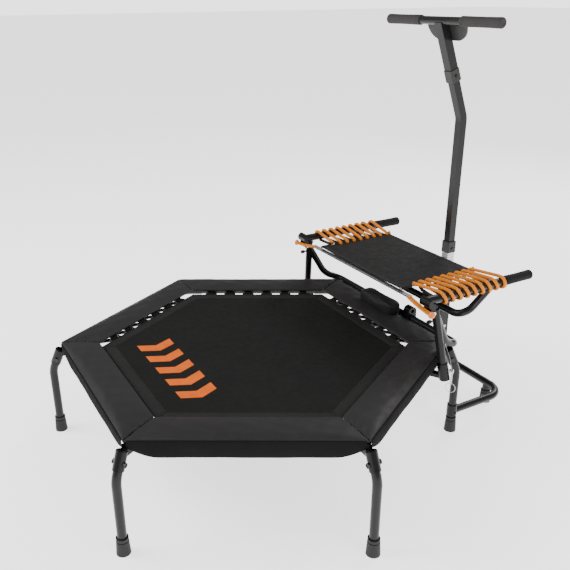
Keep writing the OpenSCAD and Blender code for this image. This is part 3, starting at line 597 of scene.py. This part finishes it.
def stitches(starts, ends, pitch, name):
    """Sewn dashes along straight lines: each a flat bead, 0.6 of the pitch long."""
    grids = []
    for start, end in zip(np.asarray(starts, float), np.asarray(ends, float)):
        ahead = unit(end - start)
        count = int(np.linalg.norm(end - start) / pitch)
        at = start + ahead * ((np.arange(count)[:, None] + 0.5) * pitch)
        path = at[:, None] + (STITCH_REACH * pitch)[:, None] * ahead
        grids.append(tube(path, STITCH_RADII, [0, 0, 1], 5))
    return skin(name, np.concatenate(grids), close_v=True, caps=True)


lines = []
for inset in (0.003, 0.006, BORDER_WIDTH - 0.005):
    apothem = MAT_APOTHEM - inset
    half = apothem * math.tan(TURN / 12)
    line = np.array([[-half, MID_Y - apothem, MAT_TOP + 0.0012],
                     [half, MID_Y - apothem, MAT_TOP + 0.0012]])
    lines += [turned(line, k) for k in range(SIDES)]
lines = np.array(lines)
border_seam = finished(stitches(lines[:, 0], lines[:, 1], 0.006, "border_seams"),
                       "frame", thread)


# Bungee loops ---------------------------------------------------------------------------------

CORD_R = 0.0036
COIL_TURNS = 4
COIL_WIDTH = 0.026
BRAID_PER_TURN = 0.28


def bungee_coils():
    """Each loop is one cord wound four times round the hexagon tube and the anchor bar: a belt
    line repeated, moved evenly along the tube as it goes round. BRAID_PER_TURN is the length of
    braid pattern laid on each turn."""
    line = belt((-RING_APOTHEM, RING_Z), RING_R + CORD_R, (-ANCHOR_APOTHEM, ANCHOR_Z),
                ANCHOR_R + CORD_R, 3, 11)
    line = np.tile(line, (COIL_TURNS, 1))
    aside = np.linspace(-0.5, 0.5, len(line)) * COIL_WIDTH
    middle = (np.arange(LOOPS_PER_SIDE) - (LOOPS_PER_SIDE - 1) / 2) * LOOP_PITCH
    x = middle[:, None] + aside
    path = np.stack([x, MID_Y + line[:, 0] + 0 * x, line[:, 1] + 0 * x], -1)
    rings = tube(path, CORD_R, [1, 0, 0], 8)
    return skin("mat_bungees", np.concatenate([turned(rings, k) for k in range(SIDES)]),
                close_v=True, caps=True, uv=(COIL_TURNS * BRAID_PER_TURN, TURN * CORD_R))


bungees = finished(bungee_coils(), "frame", black_cord)
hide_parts("bungee_loops")


# Edge pads ------------------------------------------------------------------------------------

TAN30 = math.tan(TURN / 12)
PAD_HALF = (PAD_OUTER - PAD_INNER) / 2
PAD_MIDDLE = (PAD_OUTER + PAD_INNER) / 2
MITRE = 0.0006
PAD_STITCH_PITCH = 0.007
SWELL_FRAMES = 20


def rounded(value, power):
    return np.sign(value) * np.abs(value) ** power


def pad_body(half_thick, nu=72, nv=36):
    """A mitred pad: a rounded flat section (cos^0.25, sin^0.5) carried along the side, its
    half length following the mitre, x = share * (apothem * tan 30 - gap)."""
    share = np.linspace(-1, 1, nu)[:, None]
    angle = np.arange(nv)[None, :] * TURN / nv
    apothem = PAD_MIDDLE + (PAD_HALF - 0.0005) * rounded(np.cos(angle), 0.25)
    z = PAD_TOP - PAD_THICK / 2 + half_thick * rounded(np.sin(angle), 0.5)
    x = share * (apothem * TAN30 - MITRE)
    return np.stack([x, MID_Y - apothem + 0 * share, z + 0 * share], -1)


def swell(obj, voxel, pressure, cap, hold):
    """Fills a closed cover: remeshes it, runs it as cloth under pressure with the held points
    fixed, and limits how far each point may move."""
    remesh = obj.modifiers.new("even", "REMESH")
    remesh.mode = "VOXEL"
    remesh.voxel_size = voxel
    depsgraph = bpy.context.evaluated_depsgraph_get()
    mesh = bpy.data.meshes.new_from_object(obj.evaluated_get(depsgraph))
    obj.modifiers.clear()
    obj.data = mesh
    rest = np.empty(len(mesh.vertices) * 3)
    mesh.vertices.foreach_get("co", rest)
    rest = rest.reshape(-1, 3)
    pins = obj.vertex_groups.new(name="held")
    pins.add(np.flatnonzero(hold(rest)).tolist(), 1.0, "REPLACE")
    cloth = obj.modifiers.new("cover", "CLOTH")
    cloth.settings.use_pressure = True
    cloth.settings.uniform_pressure_force = pressure
    cloth.settings.effector_weights.gravity = 0
    cloth.settings.vertex_group_mass = "held"
    cloth.settings.quality = 4
    cloth.point_cache.frame_end = SWELL_FRAMES
    for number in range(1, SWELL_FRAMES + 1):
        bpy.context.scene.frame_set(number)
    depsgraph = bpy.context.evaluated_depsgraph_get()
    moved = bpy.data.meshes.new_from_object(obj.evaluated_get(depsgraph))
    now = np.empty(len(moved.vertices) * 3)
    moved.vertices.foreach_get("co", now)
    obj.modifiers.clear()
    bpy.context.scene.frame_set(1)
    travel = now.reshape(-1, 3) - rest
    size = np.linalg.norm(travel, axis=1, keepdims=True)
    return rest + travel * np.minimum(1, cap / np.maximum(size, 1e-9))


def set_points(obj, points):
    obj.data.vertices.foreach_set("co", np.asarray(points, float).ravel())
    obj.data.update()


def side_of(points):
    """A point's apothem, and its share of the half side at that apothem, for the front side."""
    apothem = MID_Y - points[:, 1]
    return apothem, points[:, 0] / (apothem * TAN30)


def pad_held(points):
    apothem, share = side_of(points)
    return ((np.abs(share) > 0.985) | (apothem > PAD_OUTER - 0.004)
            | (apothem < PAD_INNER + 0.004))


# height, waves along the pad, slant across it, and shift of each set of folds
FOLDS = ((0.0007, 31, 9, 0), (0.0005, 57, -14, 1.3), (0.00035, 113, 5, 0.4))
GATHER = 0.0009
GATHER_WAVES = 10


def soft_creases(points):
    """Slack in the cover: long shallow folds across the pad, sums of sines of the distance
    along it, that fade at the edges, and a little gathering towards the mitres."""
    apothem, share = side_of(points)
    across = np.clip((apothem - PAD_INNER) / (2 * PAD_HALF), 0, 1)
    x = points[:, 0]
    fold = sum(height * np.sin(along * x + aslant * across + shift)
               for height, along, aslant, shift in FOLDS)
    gather = GATHER * np.exp(-((1 - np.abs(share)) / 0.05) ** 2) * np.sin(GATHER_WAVES * across * math.pi)
    return (fold + gather) * np.sin(math.pi * across) ** 0.7


pad_front = skin("pad_shape", pad_body(0.0038), close_v=True, caps=True)
if SIMULATE:
    pad_points = swell(pad_front, 0.0055, 4.0, 0.006, pad_held)
else:
    pad_points = np.empty(len(pad_front.data.vertices) * 3)
    pad_front.data.vertices.foreach_get("co", pad_points)
    pad_points = pad_points.reshape(-1, 3)
upper = pad_points[:, 2] > PAD_TOP - PAD_THICK / 2
across = np.clip((side_of(pad_points)[0] - PAD_INNER) / (2 * PAD_HALF), 0, 1)
pad_points[:, 2] += np.where(upper, 0.003 * np.sin(math.pi * across) ** 0.6
                             + soft_creases(pad_points), 0)
pad_points[:, 2] = np.maximum(pad_points[:, 2], PAD_TOP - PAD_THICK + 0.0004)
set_points(pad_front, pad_points)


def skirt_grid(nu=90, nv=22):
    """The hanging flap: from the crease it drops in a line that the hem draws in by down^2,
    with shallow waves that grow downwards. Its depth rises from a half at each end to the whole
    over SKIRT_EASE, by a quarter of a sine."""
    half = PAD_OUTER * TAN30 - SKIRT_GAP
    x = half * np.sin(np.linspace(-1, 1, nu) * math.pi / 2)[:, None]
    down = np.linspace(0, 1, nv)[None, :]
    inside = np.clip((half - np.abs(x)) / SKIRT_EASE, 0, 1)
    depth = (SKIRT_TOP - SKIRT_LOW) * (0.5 + 0.5 * np.sin(inside * math.pi / 2))
    z = SKIRT_TOP - depth * down
    out = 0.0035 * np.sin(down * math.pi * 0.9) ** 0.5 - 0.007 * down ** 2
    out = out + down * (0.0006 * np.sin(23 * x + 0.6) + 0.0003 * np.sin(61 * x + 2.1))
    apothem = PAD_OUTER - 0.0035 + out
    outer = np.stack([x + 0 * down, MID_Y - apothem, z], -1)
    inner = outer + [0, SKIRT_THICK, 0]
    return np.concatenate([outer, inner[:, ::-1]], 1)


PAD_NODES = ["pad_front", "pad_front_right", "pad_step_right", "pad_step", "pad_step_left",
             "pad_front_left"]
for k, node in enumerate(PAD_NODES):
    pad = bpy.data.objects.new("cover_" + node, pad_front.data.copy())
    bpy.context.scene.collection.objects.link(pad)
    set_points(pad, turned(pad_points, k))
    finished(pad, "frame", pad_cloth)
    if SIMULATE:
        finer = pad.modifiers.new("smooth", "SUBSURF")
        finer.levels = finer.render_levels = 1
    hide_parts(node)
    skirt = skin("skirt_" + node, turned(skirt_grid(), k), close_v=True, caps=True)
    finished(skirt, "frame", skirt_cloth_painted_shade)
bpy.data.objects.remove(pad_front)


def surface_height(x, y):
    """Height of the pad's top at places on the front side, from the nearest upper points."""
    top = pad_points[upper]
    gap = (top[None, :, 0] - x[:, None]) ** 2 + (top[None, :, 1] - y[:, None]) ** 2
    return top[np.argmin(gap, 1), 2]


def pad_seams():
    """Stitching on each pad: a row along the outer crease and a row beside each mitre."""
    grids = []
    half = (PAD_OUTER - 0.009) * TAN30 - 0.004
    rows = [((-half, PAD_OUTER - 0.009), (half, PAD_OUTER - 0.009))]
    for s in (-1, 1):
        rows.append(((s * ((PAD_INNER + 0.006) * TAN30 - 0.006), PAD_INNER + 0.006),
                     (s * ((PAD_OUTER - 0.012) * TAN30 - 0.006), PAD_OUTER - 0.012)))
    for (x0, a0), (x1, a1) in rows:
        start, end = np.array([x0, MID_Y - a0]), np.array([x1, MID_Y - a1])
        count = int(np.linalg.norm(end - start) / PAD_STITCH_PITCH)
        at = start + (np.arange(count)[:, None] + 0.5) / count * (end - start)
        reach = STITCH_REACH * PAD_STITCH_PITCH
        flat = at[:, None] + reach[:, None] * unit(end - start)
        z = surface_height(flat[..., 0].ravel(), flat[..., 1].ravel()).reshape(count, 4)
        grids.append(tube(np.concatenate([flat, z[..., None]], -1),
                          STITCH_RADII, [0, 0, 1], 5))
    one = np.concatenate(grids)
    return skin("pad_seams", np.concatenate([turned(one, k) for k in range(SIDES)]),
                close_v=True, caps=True)


finished(pad_seams(), "frame", thread)


# Bumper on the step-side pad ------------------------------------------------------------------

bump_low, bump_high = box("edge_bumper")
BUMPER_POWER = 0.35


def bumper_body(nu=40, nv=48):
    """A rounded block: a superellipsoid, each cosine and sine to BUMPER_POWER."""
    middle, half = (bump_low + bump_high) / 2, (bump_high - bump_low) / 2 - 0.001
    rise = np.linspace(-0.499, 0.499, nu)[:, None] * math.pi
    angle = np.arange(nv)[None, :] * TURN / nv
    flat = rounded(np.cos(rise), BUMPER_POWER)
    return middle + half * np.stack([flat * rounded(np.cos(angle), BUMPER_POWER),
                                     flat * rounded(np.sin(angle), BUMPER_POWER),
                                     rounded(np.sin(rise), BUMPER_POWER) + 0 * angle], -1)


bumper = skin("step_bumper", bumper_body(), close_v=True, caps=True)
if SIMULATE:
    swollen = swell(bumper, 0.004, 3.0, 0.003, lambda points: points[:, 2] < bump_low[2] + 0.004)
    swollen = np.clip(swollen, bump_low - [0.002, 0.002, -0.0002],
                      bump_high + [0.002, 0.0008, 0.002])
    set_points(bumper, swollen)
finished(bumper, "frame", bumper_cloth)
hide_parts("edge_bumper")


# Step: sheet, hems and lacing -----------------------------------------------------------------

SHEET_THICK = 0.002
STEP_SAG = 0.004
SAG_WAVES = 9
SAG_EVEN, SAG_CHANGE = 0.6, 0.4
FOLD_INSET = 0.009
FOLD_HALF_WIDTH = 0.0085
FOLD_HALF_THICK = 0.0021
REAR_FOLD_SAG = SAG_EVEN + SAG_CHANGE * math.cos(2.8)


def step_sheet():
    """The laced sheet: level at its hems, hanging by sag * (1 - (x / half)^2) between them. The
    sag is greatest at the front and least at the rear, along a cosine."""
    x = np.linspace(-ROD_X, ROD_X, 60)[:, None]
    y = np.linspace(sheet_low[1], sheet_high[1], 50)[None, :]
    share = SAG_EVEN + SAG_CHANGE * np.cos((y - sheet_low[1]) * SAG_WAVES)
    sag = STEP_SAG * (1 - (x / ROD_X) ** 2) * share
    top = np.stack([x + 0 * y, y + 0 * x, ROD_Z + SHEET_THICK / 2 - sag], -1)
    return np.concatenate([top, top[:, ::-1] - [0, 0, SHEET_THICK]], 1)


step_top = finished(skin("step_sheet", step_sheet(), close_v=True, caps=True),
                    "step", step_cloth)
LACE_LEAN = 0.004
LAST_LEAN = 0.008
lace_y = LACE_START + np.arange(LACE_TURNS) * LACE_PITCH
HEM_Y = lace_y - LACE_LEAN
RAIL_Y = lace_y + LACE_LEAN + np.append(np.zeros(LACE_TURNS - 1), LAST_LEAN)
NOTCH = 0.0075
LAST_RETURN = 0.012
ROD_REACH = 0.012
SMOOTHINGS = 3


def hems():
    """Sleeves of cloth round the side rods, open where the lacing goes round: closed tubes
    with a tail that meets the sheet, x = radius * cos, stretched inwards where cos is below 0."""
    starts = np.concatenate([[sheet_low[1]], HEM_Y + NOTCH])
    ends = np.concatenate([HEM_Y - NOTCH, [sheet_high[1]]])
    share = np.array([0, 0.04, 0.5, 0.96, 1])
    fit = np.array([0.86, 1, 1, 1, 0.86])
    angle = np.arange(20) * TURN / 20
    radius = HEM_R - 0.0014
    x = radius * np.cos(angle) * np.where(np.cos(angle) < 0, 2.6, 1)
    z = radius * np.sin(angle) * np.where(np.cos(angle) < 0, 1 + 0.75 * np.cos(angle), 1)
    y = starts[:, None] + share * (ends - starts)[:, None]
    points = np.stack([ROD_X + fit[:, None] * x + 0 * y[..., None],
                       y[..., None] + 0 * x, ROD_Z + fit[:, None] * z + 0 * y[..., None]], -1)
    return skin("step_hems", np.concatenate([points, points * [-1, 1, 1]]), close_v=True, caps=True)


step_hems = finished(hems(), "step", step_cloth)
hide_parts("step_mat")


def free_edges():
    """Folded hems across the front and rear edges of the sheet, as flat rounded bands."""
    x = np.linspace(-ROD_X + 0.008, ROD_X - 0.008, 40)
    sag = STEP_SAG * (1 - (x / ROD_X) ** 2)
    grids = []
    for y, factor in ((sheet_low[1] + FOLD_INSET, 1.0), (sheet_high[1] - FOLD_INSET, REAR_FOLD_SAG)):
        path = np.stack([x, 0 * x + y, ROD_Z - sag * factor], -1)
        ring = tube(path, 1.0, [0, 1, 0], 16)
        off = (ring - path[:, None]) * [0, FOLD_HALF_WIDTH, FOLD_HALF_THICK]
        grids.append(path[:, None] + off)
    return skin("step_edge_folds", np.stack(grids), close_v=True, caps=True)


edge_folds = finished(free_edges(), "step", border_cloth)


def lacing():
    """One cord a side, wound round the side rod and the rail. Each turn goes over the top from
    its notch in the hem, gains half a pitch round the rail, comes back underneath between the
    strands above, and gains the other half as it reaches the rod."""
    line = belt((RAIL_X, RAIL_Z), RAIL_R + LACE_R, (ROD_X, ROD_Z), ROD_R + LACE_R, 9, 15)
    top = line[:, 1] > RAIL_Z
    start = int(np.argmin(np.where(top, np.abs(line[:, 0] - ROD_X), 9)))
    line = np.roll(line[::-1], start + 1, 0)
    slant = np.clip((line[:, 0] - ROD_X) / (RAIL_X - ROD_X), 0, 1)
    returning = np.arange(len(line)) > int(np.argmax(line[:, 0]))
    at_rail = np.clip((RAIL_Z + RAIL_R - line[:, 1]) / (2 * RAIL_R), 0, 1)
    at_rail = np.where(line[:, 0] > RAIL_X, at_rail, returning)
    at_rod = np.where(returning, np.clip((ROD_X + ROD_REACH - line[:, 0]) / ROD_REACH, 0, 1), 0)
    gained = (at_rail + np.maximum.accumulate(at_rod)) / 2
    path = []
    for k in range(LACE_TURNS):
        after = HEM_Y[k + 1] if k + 1 < LACE_TURNS else HEM_Y[k] + LAST_RETURN
        y = HEM_Y[k] + slant * (RAIL_Y[k] - HEM_Y[k]) + gained * (after - HEM_Y[k])
        path.append(np.stack([line[:, 0], y, line[:, 1]], -1))
    return np.concatenate(path)


lace_path = lacing()
for turn in range(SMOOTHINGS):
    lace_path[1:-1] = (lace_path[:-2] + 2 * lace_path[1:-1] + lace_path[2:]) / 4
lace_length = float(np.linalg.norm(np.diff(lace_path, axis=0), axis=1).sum())
lace_rings = tube(lace_path, LACE_R, [0, 1, 0], 12)
step_laces = skin("step_laces", mirrored(lace_rings), close_v=True, caps=True,
                  uv=(lace_length, TURN * LACE_R))
finished(step_laces, "step", lace_cord())
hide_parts("step_lacing")

# Corner tethers -------------------------------------------------------------------------------

tether_low, tether_high = box("corner_tethers")
TETHER_R = 0.0043
TETHER_ASIDE = TETHER_R * 1.05
TETHER_DROOP = 0.003
TETHER_BRAID = 0.27
TETHER_MIDDLE_Y = (tether_low[1] + tether_high[1]) / 2


def tethers():
    """A doubled cord from the ball to the spreader's end: along one side, round the end in a
    half turn and back along the other. The two runs lie TETHER_ASIDE either side of a line."""
    ball = np.array([tether_high[0] - 0.009, TETHER_MIDDLE_Y, tether_low[2] + 0.018])
    hole = np.array([rod_high[0] - 0.006, rod_low[1] + 0.007, SPREADER_TOP - 0.004])
    ahead = unit(ball - hole)
    aside = unit(np.cross(ahead, [0, 0, 1]))
    go = np.linspace(0, 1, 14)[:, None]
    droop = np.sin(go * math.pi) * [0, 0, -TETHER_DROOP]
    turn = np.linspace(0, math.pi, 9)[1:-1, None]
    out = ball + go * (hole - ball) + droop + aside * TETHER_ASIDE
    loop = hole + TETHER_ASIDE * (np.cos(turn) * aside - np.sin(turn) * ahead)
    back = hole + go * (ball - hole) + droop - aside * TETHER_ASIDE
    return tube(np.concatenate([out, loop, back]), TETHER_R, [0.2, 0.1, 1], 10), ball


tether_rings, ball_at = tethers()
tether_cords = skin("tether_cords", mirrored(tether_rings), close_v=True, caps=True,
                    uv=(TETHER_BRAID, TURN * TETHER_R))
finished(tether_cords, "step", orange_cord)
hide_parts("corner_tethers")
rise = np.linspace(-0.49, 0.49, 18) * math.pi
ball_profile = np.stack([0.0085 * np.sin(rise), 0.0108 * np.cos(rise) ** 0.8], -1)
balls = skin("tether_balls", mirrored(lathe(ball_profile, ball_at, (0.5, -0.8, 0.3), 28)),
             close_v=True, caps=True)
finished(balls, "step", moulded("orange_plastic", (0.85, 0.24, 0.03), 0.35))

# Foam grips -----------------------------------------------------------------------------------

GRIP_R = 0.0165
END_ROUND = 0.006
BAR_BORE = 0.0132
RAIL_BORE = 0.0142


def grip_profile(length, bore):
    """Distance from the inner end and radius: a lip, a ring seam, a faintly waisted body and a
    rounded outer end."""
    body = np.linspace(0.014, length - 0.007, 16)
    waist = GRIP_R - 0.0006 * np.sin(math.pi * (body - 0.014) / (length - 0.021))
    turn = np.linspace(0, math.pi / 2, 7)
    lip = [(0, bore), (0, GRIP_R - 0.0015), (0.0012, GRIP_R - 0.0002), (0.0085, GRIP_R),
           (0.0095, GRIP_R - 0.0012), (0.0112, GRIP_R - 0.0012), (0.0122, GRIP_R)]
    end = np.stack([length - END_ROUND + END_ROUND * np.sin(turn),
                    GRIP_R - END_ROUND + END_ROUND * np.cos(turn)], -1)
    dish = [(length - 0.0002, 0.0075), (length - 0.0008, 0.0065), (length - 0.0008, 0.001)]
    return np.concatenate([lip, np.stack([body, waist], -1), end, dish])


bar_low, bar_high = box("bar_grips")
bar_middle = (bar_low + bar_high) / 2
BAR_GRIP = 0.170
bar_grip = lathe(grip_profile(BAR_GRIP, BAR_BORE), [bar_high[0] - BAR_GRIP, *bar_middle[1:]],
                 (1, 0, 0))
handle_grips = skin("handle_grips", mirrored(bar_grip), close_v=True, caps=True)
finished(handle_grips, "handle", grip_foam)
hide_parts("bar_grips")

grip_low, grip_high = box("rail_grips")
rail_grip = lathe(grip_profile(grip_high[1] - grip_low[1], RAIL_BORE),
                  [RAIL_X, grip_low[1], RAIL_Z], (0, 1, 0))
step_grips = skin("step_grips", mirrored(rail_grip), close_v=True, caps=True)
finished(step_grips, "step", rail_foam)
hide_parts("rail_grips")

# Lanyards -------------------------------------------------------------------------------------

LANYARD_R = 0.0008
EYE_R = 0.0025
EYE_SHARE = 0.05
SLEEVE_ENDS = (0.14, 0.88)
SLEEVE_R = 2.1 * LANYARD_R
LANYARD_BOW = 0.004
LANYARD_STEPS = 40


def lanyard(side):
    """A steel wire from a bead on the post to the pull pin's head, with a crimped sleeve at each
    end. It bows outwards by sin(pi * share)."""
    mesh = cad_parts["lanyards"].data
    points = np.empty(len(mesh.vertices) * 3)
    mesh.vertices.foreach_get("co", points)
    points = points.reshape(-1, 3)
    points = points[points[:, 0] * (-1 if side == "left" else 1) > 0]
    eye = points[points[:, 2] > points[:, 2].max() - 0.001].mean(0) - [0, 0, EYE_R]
    foot = points[points[:, 2] < points[:, 2].min() + 0.001].mean(0)
    outward = unit((foot - eye) * [1, 1, 0])
    share = np.linspace(0, 1, LANYARD_STEPS)[:, None]
    path = eye + share * (foot - eye) + LANYARD_BOW * np.sin(math.pi * share) * outward
    down = share[:, 0]
    sleeved = (down < SLEEVE_ENDS[0]) | (down > SLEEVE_ENDS[1])
    radius = np.where(sleeved, SLEEVE_R, LANYARD_R)
    bulge = EYE_R * np.sqrt(np.clip(1 - (down / EYE_SHARE - 0.5) ** 2 * 3, 0.1, 1))
    radius = np.where(down < EYE_SHARE, bulge, radius)
    wire = skin("lanyard_" + side, tube(path, radius, outward, 10), close_v=True, caps=True)
    wire.data.materials.append(wire_steel)
    wire.data.shade_smooth()
    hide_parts("lanyards")
    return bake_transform(wire)


for side in ("left", "right"):
    lanyard(side)

# Pull rings -----------------------------------------------------------------------------------

PIN_RING_R = 0.016
RING_WIRE = 0.0009
PIN_OUT = (0.866, 0.5)
TAB_HOLE = (0.0071, 0.0079, 0.0035)


def pin_ring(side):
    """A wire ring that hangs from the lower end of a post pin's tab, in the upright plane of the
    pin. TAB_HOLE is how far in from the pin's outermost, rearmost and lowest places the ring's
    top is, and PIN_OUT is the way that the pin pulls out."""
    low, high = box("post_pin_" + side)
    outward = np.array([-PIN_OUT[0] if side == "left" else PIN_OUT[0], PIN_OUT[1], 0])
    tab_x = low[0] + TAB_HOLE[0] if side == "left" else high[0] - TAB_HOLE[0]
    hole = np.array([tab_x, high[1] - TAB_HOLE[1], low[2] + TAB_HOLE[2]])
    angle = (np.arange(48) * TURN / 48)[:, None]
    path = (hole - [0, 0, PIN_RING_R] + PIN_RING_R * np.cos(angle) * [0, 0, 1]
            + PIN_RING_R * np.sin(angle) * outward)
    ring = skin("pin_ring_" + side, tube(path, RING_WIRE, [0, 0, 1] + 0.3 * outward, 8, closed=True),
                close_u=True, close_v=True)
    return finished(ring, "pin_" + side, zinc)


for side in ("left", "right"):
    pin_ring(side)

# Floor, light and camera ----------------------------------------------------------------------

FLOOR_GLOW = 1.7
FLOOR_HALF = 60
floor_finish = Finish("floor_paint", (0.9, 0.9, 0.9), 0.7, specular=0.2)
floor_finish.bump(floor_finish.noise(3, 2), 0.0005, 0.1)
floor_finish.shader.inputs["Emission Color"].default_value = (1, 1, 1, 1)
floor_finish.shader.inputs["Emission Strength"].default_value = FLOOR_GLOW
corners = np.array([[x, y, 0.0] for x in (-FLOOR_HALF, FLOOR_HALF) for y in (-FLOOR_HALF, FLOOR_HALF)])
floor = skin("floor", corners.reshape(2, 2, 3))
floor.data.materials.append(floor_finish.material)

WORLD_LIGHT = 0.4
WORLD_SEEN = 2.6
world = bpy.data.worlds.new("studio")
bpy.context.scene.world = world
world.use_nodes = True
world_tree = world.node_tree
backdrop = world_tree.nodes["Background"]
backdrop.inputs["Color"].default_value = (1, 1, 1, 1)
ray = world_tree.nodes.new("ShaderNodeLightPath")
glow = world_tree.nodes.new("ShaderNodeMapRange")
glow.inputs["To Min"].default_value = WORLD_LIGHT
glow.inputs["To Max"].default_value = WORLD_SEEN
world_tree.links.new(ray.outputs["Is Camera Ray"], glow.inputs["Value"])
world_tree.links.new(glow.outputs["Result"], backdrop.inputs["Strength"])


def softbox(name, place, target, size, power):
    """A square area light at a place, aimed at a target."""
    light = bpy.data.lights.new(name, "AREA")
    light.shape, light.size, light.energy = "SQUARE", size, power
    lamp = bpy.data.objects.new(name, light)
    bpy.context.scene.collection.objects.link(lamp)
    place, target = np.array(place, float), np.array(target, float)
    back = unit(place - target)
    side = unit(np.cross([0, 0, 1], back))
    turn = np.eye(4)
    turn[:3] = np.stack([side, np.cross(back, side), back, place], -1)
    lamp.matrix_world = Matrix(turn.tolist())
    return lamp


MIDDLE = (0, 0, 0.5)
softbox("key_light", (-1.6, -3.2, 3.4), MIDDLE, 2.4, 190)
softbox("fill_light", (3.6, 0.6, 2.4), MIDDLE, 2.6, 80)
softbox("rim_light", (-1.2, 3.6, 2.8), MIDDLE, 2.2, 90)

AZIMUTH, ELEVATION, ROLL = map(math.radians, (60.85, 22.75, -0.4064))
FOCAL_SHARE = 1.22417
SENSOR_WIDTH = 36.0
CAMERA_PLACE = (1.83338, MID_Y - 0.95825, 1.40642)
camera_data = bpy.data.cameras.new("studio_camera")
camera_data.sensor_width = SENSOR_WIDTH
camera_data.lens = SENSOR_WIDTH * FOCAL_SHARE
camera_data.shift_x = 0.02639
camera_data.shift_y = 0.00362
camera_data.clip_start = 0.05
camera_data.clip_end = 150
camera = bpy.data.objects.new("studio_camera", camera_data)
bpy.context.scene.collection.objects.link(camera)
back = np.array([math.sin(AZIMUTH) * math.cos(ELEVATION), -math.cos(AZIMUTH) * math.cos(ELEVATION),
                 math.sin(ELEVATION)])
right = unit(np.cross([0, 0, 1], back))
up = np.cross(back, right)
turn = np.eye(4)
turn[:3, 0] = math.cos(ROLL) * right + math.sin(ROLL) * up
turn[:3, 1] = -math.sin(ROLL) * right + math.cos(ROLL) * up
turn[:3, 2] = back
turn[:3, 3] = CAMERA_PLACE
camera.matrix_world = Matrix(turn.tolist())
bpy.context.scene.camera = camera
